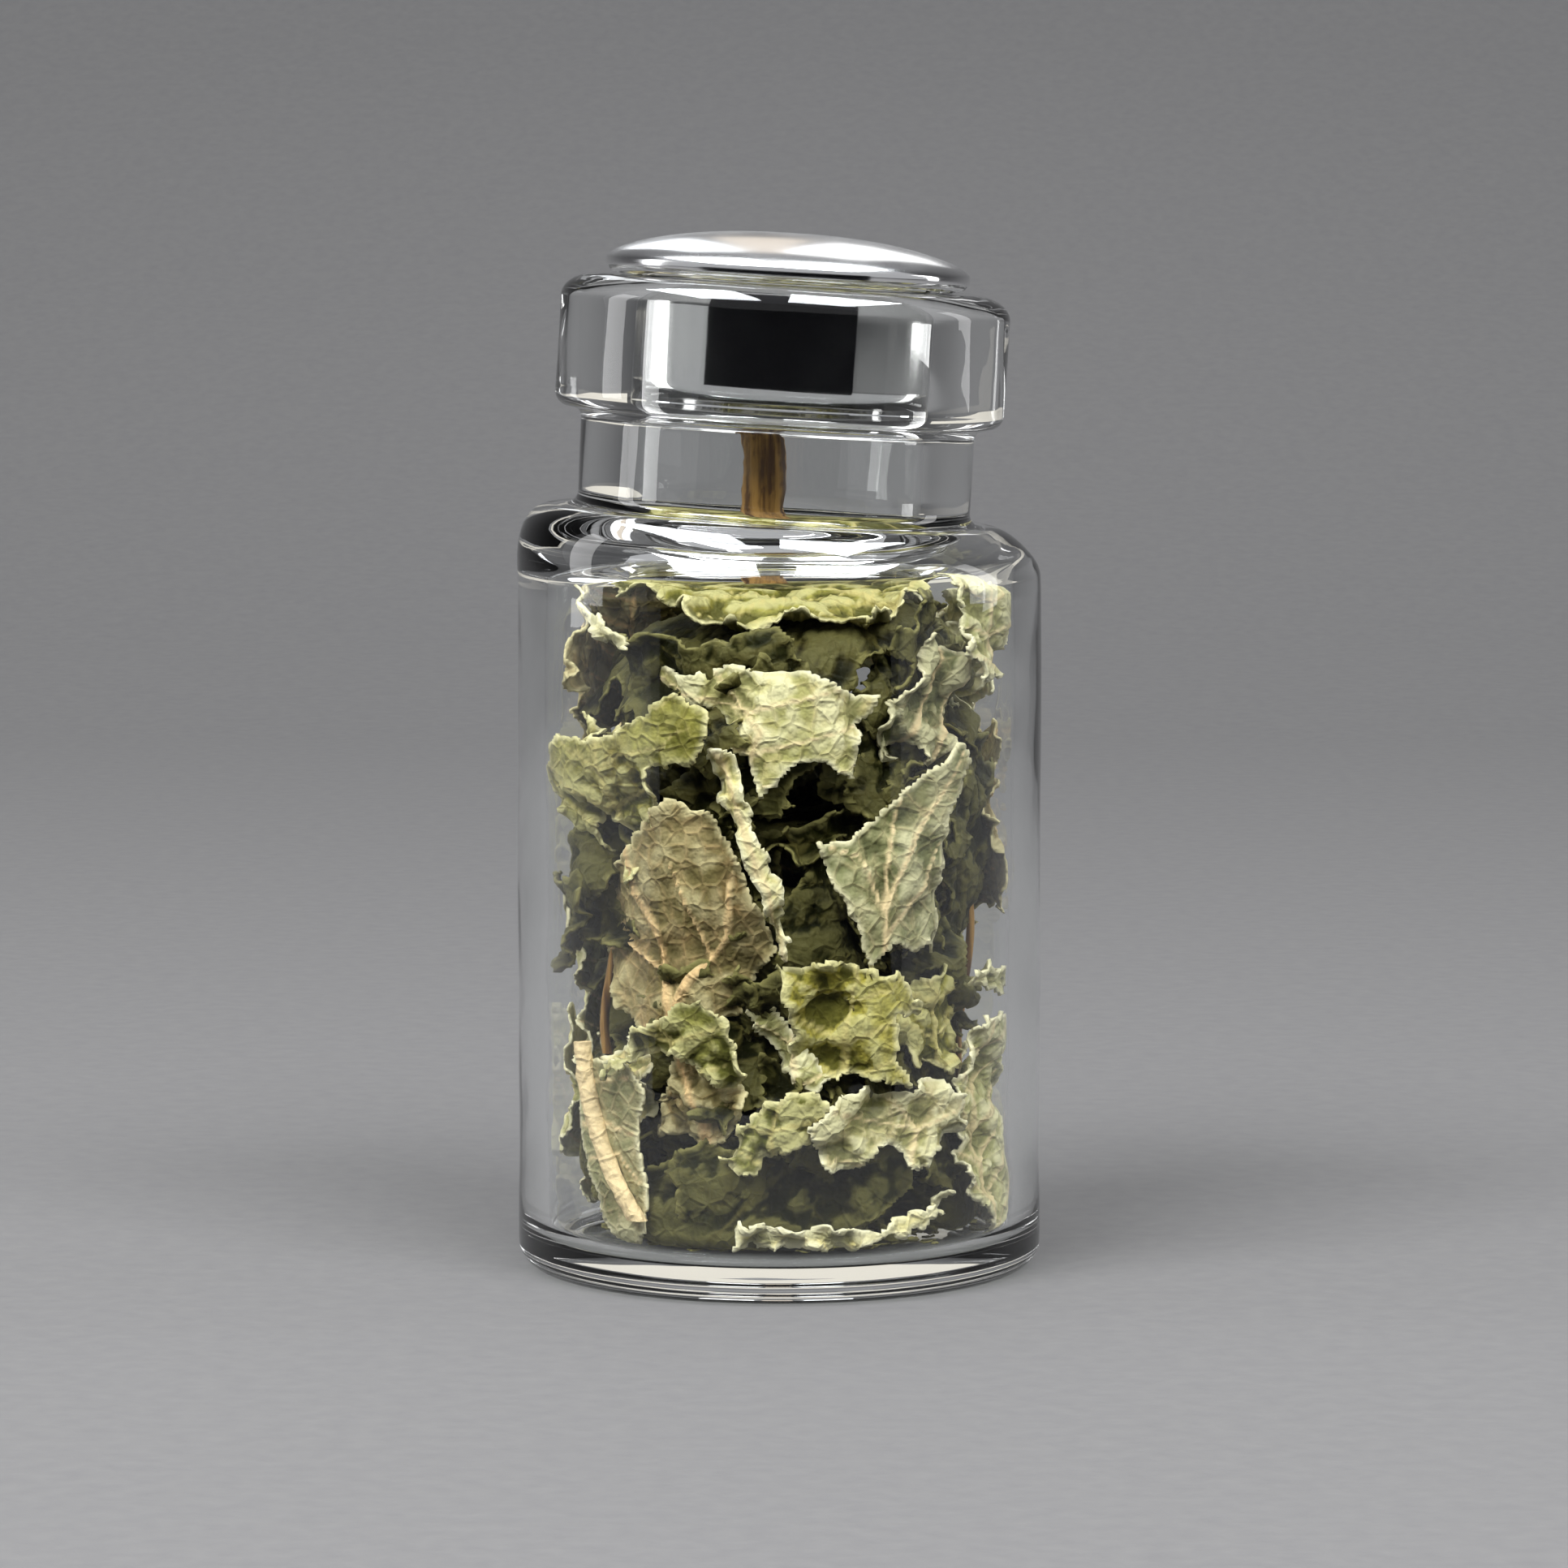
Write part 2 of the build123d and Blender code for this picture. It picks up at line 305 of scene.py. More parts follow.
def curved_card(name, radius, low, high, start, end, finish, inward=0.0, mirrored=True):
    """Part of an upright ring round the vial, between two azimuths; its foot can run in along the floor."""
    deselect()
    bpy.ops.mesh.primitive_cylinder_add(vertices=90, radius=radius, depth=high - low,
                                        end_fill_type="NOTHING", location=(0, 0, (low + high) / 2))
    bpy.ops.object.transform_apply(location=True, rotation=False, scale=False)
    card = bpy.context.object
    card.name = name
    bpy.ops.object.mode_set(mode="EDIT")
    bpy.ops.mesh.select_mode(type="FACE")
    bpy.ops.mesh.select_all(action="DESELECT")
    bpy.ops.object.mode_set(mode="OBJECT")
    middle = math.radians(start + end) / 2
    toward = Vector((math.sin(middle), -math.cos(middle), 0))
    for face in card.data.polygons:
        out = Vector((face.center.x, face.center.y, 0))
        face.select = toward.angle(out) > math.radians(end - start) / 2
    bpy.ops.object.mode_set(mode="EDIT")
    bpy.ops.mesh.delete(type="FACE")
    if inward:
        foot = low + 0.01 * MM
        pick_edges(card, lambda one, other: one.z < foot and other.z < foot)
        bpy.ops.mesh.extrude_region_move()
        bpy.ops.transform.resize(value=(inward / radius, inward / radius, 1), center_override=(0, 0, low))
    bpy.ops.object.mode_set(mode="OBJECT")
    print(name, "has", len(card.data.polygons), "faces")
    hide_card(card, finish, mirrored)


# %% The cards
cream, cream_glow, glare_glow = (1, 0.95, 0.84), 0.85, 24
curved_card("dark_card", radius=0.16, low=0.0008, high=0.056, start=-57, end=50,
            finish=card_finish("black_card", (0, 0, 0), 0), inward=0.06)
curved_card("low_back_card", radius=0.38, low=0.052, high=0.100, start=115, end=245,
            finish=card_finish("cream_card", cream, cream_glow), mirrored=False)
for side, place, size in (("left", (-0.125, 0.02, 0.40), (0.17, 0.34)),
                          ("right", (0.11, 0.02, 0.40), (0.16, 0.34))):
    deselect()
    bpy.ops.mesh.primitive_plane_add(size=1, location=place)
    glare = bpy.context.object
    glare.name = side + "_glare_card"
    glare.scale = (*size, 1)
    hide_card(glare, card_finish(side + "_glare", cool, glare_glow))

# %% The room
world = bpy.data.worlds.new("studio")
world.use_nodes = True
world.node_tree.nodes["Background"].inputs["Color"].default_value = (0.96, 0.97, 1, 1)
world.node_tree.nodes["Background"].inputs["Strength"].default_value = 0.46
bpy.context.scene.world = world
bpy.context.scene.view_settings.view_transform = "Standard"

# %% [markdown]
# ## Turning on a lathe
#
# The glass, the sleeve and the stopper are round. Each could be cut from a cylinder, but a turner would
# draw half the outline and spin it, so that is done here: one vertex is extruded from point to point
# along the outline, and the outline is spun about the upright axis. Rounds are worked out as arcs.


# %% Outline helpers
def arc(centre, start, end, reach, steps=8):
    """Points on an ellipse about a centre, from one angle to another in degrees."""
    points = []
    for step in range(steps + 1):
        angle = math.radians(start + (end - start) * step / steps)
        points.append((centre[0] + reach[0] * math.cos(angle), centre[1] + reach[1] * math.sin(angle)))
    return points


def rise(radius, low, high, steps):
    """Points up or down a straight wall."""
    return [(radius, low + (high - low) * step / steps) for step in range(steps + 1)]


def turned(name, outline, steps=144):
    """Spin an outline of (radius, height) points in millimetres into a closed shell."""
    deselect()
    bpy.ops.mesh.primitive_plane_add(size=1 * MM)
    piece = bpy.context.object
    piece.name = piece.data.name = name
    bpy.ops.object.mode_set(mode="EDIT")
    bpy.ops.mesh.select_mode(type="VERT")
    bpy.ops.mesh.select_all(action="SELECT")
    bpy.ops.mesh.merge(type="CENTER")
    radius, height = outline[0]
    bpy.ops.transform.translate(value=(radius * MM, 0, height * MM))
    for (r0, h0), (r1, h1) in zip(outline, outline[1:]):
        reach = ((r1 - r0) * MM, 0, (h1 - h0) * MM)
        bpy.ops.mesh.extrude_region_move(TRANSFORM_OT_translate={"value": reach})
    bpy.ops.mesh.select_all(action="SELECT")
    bpy.ops.mesh.spin(steps=steps, angle=2 * math.pi, center=(0, 0, 0), axis=(0, 0, 1))
    bpy.ops.mesh.select_all(action="SELECT")
    bpy.ops.mesh.remove_doubles(threshold=0.002 * MM)
    bpy.ops.mesh.normals_make_consistent(inside=False)
    bpy.ops.object.mode_set(mode="OBJECT")
    bpy.ops.object.shade_smooth()
    print(name, "has", len(piece.data.polygons), "faces")
    return piece


def smooth_share(value):
    """0 below 0, 1 above 1, and an easy curve between."""
    value = min(1.0, max(0.0, value))
    return value * value * (3 - 2 * value)


def lean_neck(piece, start, end):
    """Lean what is above the shoulder about the neck's root, easing in between two heights."""
    for vertex in piece.data.vertices:
        share = smooth_share((vertex.co.z - start) / (end - start))
        turn = Matrix.Rotation(neck_lean * share, 3, "Y")
        above = Vector((0, 0, neck_root.z))
        vertex.co = turn @ (vertex.co - above) + above + Vector((neck_root.x * share, 0, 0))


# %% [markdown]
# ## The glass
#
# It is one piece of clear glass: a thick flat floor, a rounded heel, a straight side, a rounded shoulder
# and a short neck under a heavy rolled mouth. The outline goes up the outside, over the mouth and down
# the inside, so the wall has its real thickness, and light bends through it twice. The neck was set on
# slightly crooked. Hand-worked glass is never quite true, so a low, broad ripple is laid over the
# outside.

# %% Glass outline
glass_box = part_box("glass_vial")
body_radius = glass_box[1].x / MM
shoulder_top = neck_root.z / MM
wall, floor = 1.25, 1.4
inner_radius = body_radius - wall
side_top, heel = 29.2, 1.2
neck_radius, bore_radius = 8.25, 6.2
mouth_radius, mouth_top = 9.4, shoulder_top + 9.6
mouth_low = shoulder_top + 4.0
outside = [(0, 0.25), (6.5, 0.22), (9.0, 0.02)] + arc((body_radius - heel, heel), -90, 0, (heel, heel), 10)
outside += rise(body_radius, heel, side_top, 44)[1:]
outside += arc((9.1, side_top), 0, 84, (body_radius - 9.1, shoulder_top - side_top), 16)[1:]
outside += arc((8.75, shoulder_top + 0.5), -90, -180, (0.5, 0.5), 6)
outside += rise(neck_radius, shoulder_top + 0.7, mouth_low - 0.6, 6)
outside += arc((neck_radius + 0.45, mouth_low - 0.45), 180, 90, (0.45, 0.45), 6)
outside += arc((mouth_radius - 0.65, mouth_low + 0.65), -90, 0, (0.65, 0.65), 8)
outside += rise(mouth_radius, mouth_low + 0.9, shoulder_top + 8.6, 10)
outside += arc((7.75, shoulder_top + 8.6), 6, 90, (mouth_radius - 7.75, 1.0), 12)
rim_round = arc((bore_radius + 0.3, mouth_top - 0.3), 90, 180, (0.3, 0.3), 6)
inside = rise(bore_radius, mouth_top - 0.6, shoulder_top + 0.5, 16)
inside += arc((7.6, shoulder_top - 0.6), 160, 215, (1.4, 1.6), 8)
inside += arc((7.0, side_top - 0.3), 80, 0, (inner_radius - 7.0, 1.75), 12)
inside += rise(inner_radius, side_top - 0.9, floor + 1.0, 40)
inside += arc((inner_radius - 1.0, floor + 1.0), 0, -90, (1.0, 1.0), 8)[1:]
inside += [(6, floor + 0.03), (3, floor + 0.08), (0, floor + 0.1)]
glass = turned("glass_body", outside + rim_round + inside)
lean_neck(glass, 28.8 * MM, shoulder_top * MM)

# %% A broad ripple on the outside of the glass
def clouds(name, size, depth=2, kind="SOFT_NOISE"):
    """A soft lump pattern for the Displace modifier, its lumps about as large as size in millimetres."""
    lumps = bpy.data.textures.new(name, "CLOUDS")
    lumps.noise_scale = size * MM
    lumps.noise_depth = depth
    lumps.noise_type = kind
    return lumps


ripple = glass.vertex_groups.new(name="outside")
for vertex in glass.data.vertices:
    across = math.hypot(vertex.co.x - neck_root.x, vertex.co.y)
    on_outside = across > neck_radius * MM * 0.97 and not (
        vertex.co.z < side_top * MM and across < (inner_radius + 0.4) * MM)
    clear_of_floor = smooth_share((vertex.co.z - 2 * MM) / (3 * MM))
    ripple.add([vertex.index], clear_of_floor if on_outside else 0, "REPLACE")


def pick(*pieces):
    """Select these pieces alone, the last one active."""
    deselect()
    for piece in pieces:
        piece.select_set(True)
    bpy.context.view_layer.objects.active = pieces[-1]


def apply(piece, kind, **settings):
    """Add one modifier, set it, and apply it."""
    pick(piece)
    modifier = piece.modifiers.new(kind.lower(), kind)
    for name, value in settings.items():
        setattr(modifier, name, value)
    bpy.ops.object.modifier_apply(modifier=modifier.name)


def displace(piece, lumps, depth, middle, **settings):
    """Push the skin out and in by a lump pattern, as far as depth in metres."""
    apply(piece, "DISPLACE", texture=lumps, strength=depth, mid_level=middle,
          texture_coords="LOCAL", **settings)


displace(glass, clouds("glass_swell", 7, 1), -0.16 * MM, 0.3, vertex_group="outside")

# %% [markdown]
# ## Clear glass
#
# A glass shader alone would throw a black shadow, because lamps can't be traced back through bent light.
# Lamp rays are therefore let straight through, and everything else bends at the real index of soda glass.

# %% Glass finish
clear_glass = Finish("clear_glass")
clear_glass.set(Base_Color=(0.985, 0.995, 0.99, 1), Transmission_Weight=1.0, IOR=1.5)
smear = clear_glass.noise(160, 4)
clear_glass.set(Roughness=smear.power(5) * 0.10)
clear_glass.set(Normal=clear_glass.bump(clear_glass.noise(260, 1), 0.05, 0.0004))


def let_lamps_through(finish):
    """Lamp rays pass straight through; all other rays meet the real shader."""
    through = finish.node("ShaderNodeBsdfTransparent", {}, {"Color": (0.87, 0.88, 0.87, 1)})
    lamp_ray = finish.node("ShaderNodeLightPath", out="Is Shadow Ray")
    solid = Value(finish, finish.shader.outputs[0])
    mixed = finish.node("ShaderNodeMixShader", {}, {0: lamp_ray, 1: solid, 2: through})
    finish.tree.links.new(mixed.socket, finish.output.inputs["Surface"])


let_lamps_through(clear_glass)


def fit(piece, body, finish, slot, *nodes):
    """Give a finished piece its material, its body and the solid that it stands for."""
    piece.data.materials.clear()
    piece.data.materials.append(finish.material)
    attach(piece, body)
    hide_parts(*nodes)


fit(glass, "vial", clear_glass, "clear_glass", "glass_vial")

# %% [markdown]
# ## The stopper and its sleeve
#
# The stopper was turned from one bar and polished: a plain plug under a low dome with a thin edge. The
# dome's foot is hollowed a little where it meets the mouth. The sleeve is a thin clear tube pushed over
# the plug.

# %% Stopper
plug_radius, plug_low = 5.85, shoulder_top + 4.3
head_radius, seat = 7.6, mouth_top + 0.02
stopper_outline = [(0, plug_low), (3, plug_low)]
stopper_outline += arc((plug_radius - 0.3, plug_low + 0.3), -90, 0, (0.3, 0.3), 6)
stopper_outline += rise(plug_radius, plug_low + 0.6, seat - 0.05, 8) + [(plug_radius, seat), (6.9, seat)]
stopper_outline += arc((6.9, seat + 0.5), -80, 0, (0.7, 0.5), 8)
stopper_outline += [(head_radius, seat + 0.66), (7.57, seat + 0.74)]
dome_foot, dome_steps = mouth_top + 0.80, 24
dome_radius, dome_height = 7.5, mouth_top + 2.1 - dome_foot
for step in range(1, dome_steps + 1):
    across = 1 - (step / dome_steps) ** 1.4
    stopper_outline.append((dome_radius * across, dome_foot + dome_height * (1 - across ** 2.3) ** 0.72))
stopper = turned("stopper_metal", stopper_outline)
lean_neck(stopper, 0, 1 * MM)

# %% Polished metal
polished_metal = Finish("polished_metal")
brushing = polished_metal.noise(3000, 3)
cloudy = polished_metal.noise(350, 4)
steel = polished_metal.blend(cloudy, (0.80, 0.80, 0.82), (0.90, 0.90, 0.89))
polished_metal.set(Base_Color=steel, Metallic=1.0)
height = polished_metal.node("ShaderNodeSeparateXYZ", {}, {0: polished_metal.place()}, out=2)
hand_finish = polished_metal.remap(height, seat * MM, (seat + 0.7) * MM, 0.03, 0.15)
polished_metal.set(Roughness=hand_finish + cloudy.power(3) * 0.15)
polished_metal.set(Normal=polished_metal.bump(brushing, 0.02, 0.00003))
fit(stopper, "stopper", polished_metal, "polished_metal", "metal_stopper")

# %% Sleeve
sleeve_low, sleeve_out, sleeve_in = plug_low + 0.35, 6.15, 5.90
sleeve_outline = rise(sleeve_out, sleeve_low, mouth_top, 6) + rise(sleeve_in, mouth_top, sleeve_low, 6)
sleeve_outline.append((sleeve_out, sleeve_low))
sleeve = turned("sleeve_clear", sleeve_outline, 96)
lean_neck(sleeve, 0, 1 * MM)
clear_sleeve = Finish("clear_sleeve")
clear_sleeve.set(Base_Color=(0.97, 0.97, 0.96, 1), Transmission_Weight=1.0, IOR=1.41)
clear_sleeve.set(Roughness=0.02 + clear_sleeve.noise(500, 3) * 0.06)
let_lamps_through(clear_sleeve)
fit(sleeve, "sleeve", clear_sleeve, "clear_sleeve", "seal_sleeve")

# %% [markdown]
# ## Dried leaf
#
# Each flake is a torn scrap of a thin leaf: a ragged edge, ribs, sharp creases from drying, and a margin
# that curls. Its edge carries a pale rim, partly its paler underside where the margin curls and partly a
# painted highlight. Cloth simulation would fold it softly, and dry leaf breaks rather than drapes, so it
# is made as paper would be cut: a fine grid is trimmed to a torn outline, creased along straight lines,
# its margin is waved, its ribs are raised, and it is laid in its place. Then one shared field of crumples
# is pressed through all the leaves, so that neighbours buckle together. Near the glass they flatten, as
# real flakes do.

# %% Crumple fields
coarse_crumple = clouds("coarse_crumple", 2.4, 1)
fine_crumple = clouds("fine_crumple", 0.9, 2, "HARD_NOISE")

glass_clearance = 0.10
squeeze = 0.3
leaf_thickness = 0.11 * MM
cell = 0.15
tear_step = 0.42


# %% Torn edges
def torn_edge(outline, width, height, draw, tear):
    """Walk round an outline, given in halves of the scrap's size, and add small tears. In millimetres."""
    corners = [Vector((u * width / 2, v * height / 2)) for u, v in outline]
    walk = []
    for start, end in zip(corners, corners[1:] + corners[:1]):
        steps = max(1, round((end - start).length / tear_step))
        across = Vector((start.y - end.y, end.x - start.x)).normalized()
        for step in range(steps):
            walk.append(start.lerp(end, step / steps) + across * draw.uniform(-tear, tear))
    return np.array(walk)


def measure_edge(places, walk):
    """How far each place is inside the torn edge, how far round its nearest edge point is, and that point."""
    ends = np.roll(walk, -1, axis=0)
    run = ends - walk
    lengths = np.hypot(*run.T)
    offset = places[:, None, :] - walk[None]
    share = np.clip((offset * run).sum(axis=2) / lengths ** 2, 0, 1)
    nearest = walk + share[..., None] * run
    gap = np.linalg.norm(places[:, None, :] - nearest, axis=2)
    best = gap.argmin(axis=1)
    pick = (np.arange(len(places)), best)
    around = (np.cumsum(lengths) - lengths)[best] + share[pick] * lengths[best]
    crosses = (walk[:, 1] > places[:, None, 1]) != (ends[:, 1] > places[:, None, 1])
    steep = np.where(np.abs(run[:, 1]) < 1e-9, 1e-9, run[:, 1])
    cross_at = walk[:, 0] + (places[:, None, 1] - walk[:, 1]) * run[:, 0] / steep
    inside = (crosses & (places[:, None, 0] < cross_at)).sum(axis=1) % 2 == 1
    return np.where(inside, gap[pick], -gap[pick]), around, nearest[pick]


# %% Ribs
def rib_share(places, ribs, width, height):
    """1 on a rib's line and 0 beside it. Each rib is (thickness, points) and tapers along its run."""
    share = np.zeros(len(places))
    for thick, rib in ribs:
        points = np.array(rib) * (width / 2, height / 2)
        for leg, (start, end) in enumerate(zip(points, points[1:])):
            run = end - start
            along = np.clip((places - start) @ run / (run @ run), 0, 1)
            gap = np.linalg.norm(places - start - along[:, None] * run, axis=1)
            reach = thick * (1 - 0.6 * (leg + along) / (len(points) - 1))
            share = np.maximum(share, np.clip(1.3 - gap / reach, 0, 1))
    return share


def feathered_ribs(draw, height):
    """A midrib a little off the middle, and side ribs slanting up from it."""
    shift, bend = draw.uniform(-0.3, 0.3), draw.uniform(-0.25, 0.25)
    ribs = [(0.17, [(shift, -1), (shift + bend, 0), (shift - bend, 1)])]
    count = max(2, round(height / 1.7))
    for number in range(count):
        foot = -0.9 + 1.8 * number / count
        for side in (-1, 1):
            ribs.append((0.10, [(shift + bend * (1 - abs(foot)), foot), (shift + side * 0.9, foot + 0.45)]))
    return ribs


# %% One scrap
scrap_outlines = [
    [(-1, -0.5), (-0.85, 0.35), (-0.3, 0.7), (-0.1, 1), (0.4, 0.75), (0.95, 0.9), (1, 0.1), (0.7, -0.4),
     (0.8, -0.95), (0.1, -0.75), (-0.4, -1)],
    [(-0.95, -0.9), (-1, 0.1), (-0.6, 0.4), (-0.7, 0.95), (0.1, 0.8), (0.6, 1), (0.8, 0.3), (1, -0.2),
     (0.6, -0.6), (0.5, -1), (-0.2, -0.8)],
    [(-1, 0), (-0.7, 0.6), (-0.2, 0.65), (0.2, 1), (0.75, 0.6), (1, 0.7), (0.85, -0.1), (1, -0.6),
     (0.4, -0.7), (0.1, -1), (-0.5, -0.8), (-0.6, -0.35)],
]


def leaf_scrap(name, width, height, seed, look, spacing=cell):
    """A torn, creased and ribbed sheet in the XY plane, with its marks. Sizes in millimetres."""
    draw = random.Random(seed)
    outline = look.get("outline") or draw.choice(scrap_outlines)
    walk = torn_edge(outline, width, height, draw, look.get("tear", 0.16))
    deselect()
    bpy.ops.mesh.primitive_grid_add(x_subdivisions=int(width * 1.1 / spacing), size=1,
                                    y_subdivisions=int(height * 1.1 / spacing))
    piece = bpy.context.object
    piece.name = piece.data.name = name
    bpy.ops.object.mode_set(mode="EDIT")
    bpy.ops.mesh.select_all(action="SELECT")
    bpy.ops.transform.resize(value=(width * 1.1 * MM, height * 1.1 * MM, 1))
    bpy.ops.mesh.select_mode(type="VERT")
    bpy.ops.mesh.select_all(action="DESELECT")
    bpy.ops.object.mode_set(mode="OBJECT")
    inward = measure_edge(flat_places(piece), walk)[0]
    piece.data.vertices.foreach_set("select", inward < -0.5 * spacing)
    bpy.ops.object.mode_set(mode="EDIT")
    bpy.ops.mesh.delete(type="VERT")
    bpy.ops.object.mode_set(mode="OBJECT")
    places = flat_places(piece)
    inward, around, nearest = measure_edge(places, walk)
    places = np.where((inward < 0.4 * spacing)[:, None], nearest, places)
    inward = np.maximum(inward, 0)
    ribs = look.get("ribs") or (feathered_ribs(draw, height) if min(width, height) > 2.5 else [])
    on_rib = rib_share(places, ribs, width, height)
    x, y = places.T
    rise_by = look.get("lean", 0.0) * y + look.get("swing", 0.0) * x
    for _ in range(look.get("creases", 4)):
        angle = draw.uniform(0, math.pi)
        offset = draw.uniform(-0.3, 0.3) * width
        slope = draw.choice((-1, 1)) * draw.uniform(0.10, 0.26) * look.get("depth", 1.0)
        rise_by = rise_by + slope * np.abs(x * math.cos(angle) + y * math.sin(angle) - offset)
    rise_by -= rise_by.mean()
    margin = np.clip(1 - inward / 1.0, 0, 1) ** 2
    wave = np.sin(around * 2 * math.pi / look.get("wave_length", 2.3) + draw.uniform(0, 6.3))
    rise_by += margin * (look.get("wave", 0.32) * wave + look.get("curl", 0.0))
    bow = look.get("bow", 0.0) * (x * x / width + y * y / height)
    rise_by += look.get("rib_height", 0.09) * on_rib + bow
    shaped = np.column_stack((places, rise_by)) * MM
    piece.data.vertices.foreach_set("co", shaped.ravel())
    mark_points(piece, "vein_mark", on_rib)
    # A pale rim along the torn edge: partly the paler underside where the margin curls, partly painted highlight.
    mark_points(piece, "rim_mark", np.clip(1 - inward / look.get("rim", 0.24), 0, 1))
    # One tone for the whole scrap, partly its own and partly painted light and shade.
    mark_points(piece, "tone_and_light_mark", np.full(len(places), look.get("tone_and_light", draw.uniform(-0.5, 0.5))))
    return piece


def mark_points(piece, mark, values):
    """Store a number at each point, for the finishes to read."""
    piece.data.attributes.new(mark, "FLOAT", "POINT").data.foreach_set("value", values)


def places_of(piece):
    """All of a mesh's points, in millimetres."""
    flat = np.empty(len(piece.data.vertices) * 3)
    piece.data.vertices.foreach_get("co", flat)
    return flat.reshape(-1, 3) / MM


def flat_places(piece):
    return places_of(piece)[:, :2]


# %% Placing and crumpling
def stand_on_wall(piece, azimuth, middle, radius, turn):
    """Turn the sheet in its own plane, wrap it round the vial's axis, and lift it to its height."""
    x, y, out = places_of(piece).T
    x, y = x * math.cos(turn) - y * math.sin(turn), x * math.sin(turn) + y * math.cos(turn)
    angle = azimuth + x / radius
    out = out + radius
    placed = np.column_stack((out * np.sin(angle), -out * np.cos(angle), middle + y)) * MM
    piece.data.vertices.foreach_set("co", placed.ravel())


def lay_across(piece, middle, lean, toward, turn, hang=0.0):
    """Let the margin hang, lean the sheet towards an azimuth, and lift it to its height."""
    places, stiff_middle = places_of(piece), 5.6
    beyond = np.maximum(np.hypot(places[:, 0], places[:, 1]) - stiff_middle, 0)
    places[:, 2] -= hang * beyond ** 1.4
    piece.data.vertices.foreach_set("co", (places * MM).ravel())
    matrix = (Matrix.Translation((0, 0, middle * MM)) @ Matrix.Rotation(toward, 4, "Z")
              @ Matrix.Rotation(lean, 4, "X") @ Matrix.Rotation(turn, 4, "Z"))
    piece.data.transform(matrix)


def mark_painted_shade_and_highlight(piece, places, rounds=18):
    """Mark how far each point lies below (1) or above (0) the sheet around it, for painted shade and highlight."""
    ends = np.empty(len(piece.data.edges) * 2, dtype=np.int32)
    piece.data.edges.foreach_get("vertices", ends)
    ends = ends.reshape(-1, 2)
    there, back = np.concatenate((ends, ends[:, ::-1])).T
    count = np.maximum(np.bincount(there, minlength=len(places)), 1)[:, None]
    smooth = places
    for _ in range(rounds):
        sums = [np.bincount(there, smooth[back, axis], len(places)) for axis in range(3)]
        smooth = np.column_stack(sums) / count
    normals = np.empty(len(places) * 3)
    piece.data.vertices.foreach_get("normal", normals)
    below = ((smooth - places) * normals.reshape(-1, 3)).sum(axis=1)
    deepest = 0.24
    mark_points(piece, "shade_and_highlight_mark", np.clip(0.5 + below / deepest, 0, 1))


def crumple(piece, coarse, fine, depth_in=0.0):
    """Press the shared crumples through, keep clear of the glass, and give the leaf its thickness."""
    displace(piece, coarse_crumple, coarse * MM, 0.55)
    displace(piece, fine_crumple, fine * MM, 0.3)
    places = places_of(piece)
    across = np.hypot(places[:, 0], places[:, 1])
    low, high = floor + glass_clearance + 0.12 + depth_in * 0.3, side_top + 1.1
    places[:, 2] = np.clip(places[:, 2], low, high)
    room = inner_radius - glass_clearance - depth_in
    room = room - np.maximum(places[:, 2] - (side_top - 0.7), 0) * 1.4
    room = room - np.maximum(floor + 1 - places[:, 2], 0) * 0.8
    over = np.maximum(across - (room - squeeze), 0)
    kept = np.where(over > 0, room - squeeze * np.exp(-over / squeeze), across)
    places[:, :2] *= (kept / np.maximum(across, 1e-6))[:, None]
    piece.data.vertices.foreach_set("co", (places * MM).ravel())
    mark_painted_shade_and_highlight(piece, places)
    apply(piece, "SOLIDIFY", thickness=leaf_thickness, offset=0, use_even_offset=False)
    bpy.ops.object.shade_smooth()


# %% [markdown]
# ## The look of dry leaf
#
# Dry leaf is never one colour. It fades in blotches, browns in spots, and shows pale ribs and fine
# veinlets. Light and shade are painted over that: painted shade in the hollows of the crumples, painted
# highlight on their ridges, and a pale rim along the torn edge that is partly the paler underside and
# partly a painted highlight. Each scrap also has one tone that is partly its own and partly painted
# light and shade: paler and yellower for a scrap meant to look lit, darker and greener for one meant to
# look shaded. One recipe layers these over each other as colours mixed by masks. Noise makes the
# blotches and spots, and the marks that each scrap carries place its ribs, its pale rim, its painted
# shade and highlight, and its tone. Five sets of colours then give five kinds of leaf.

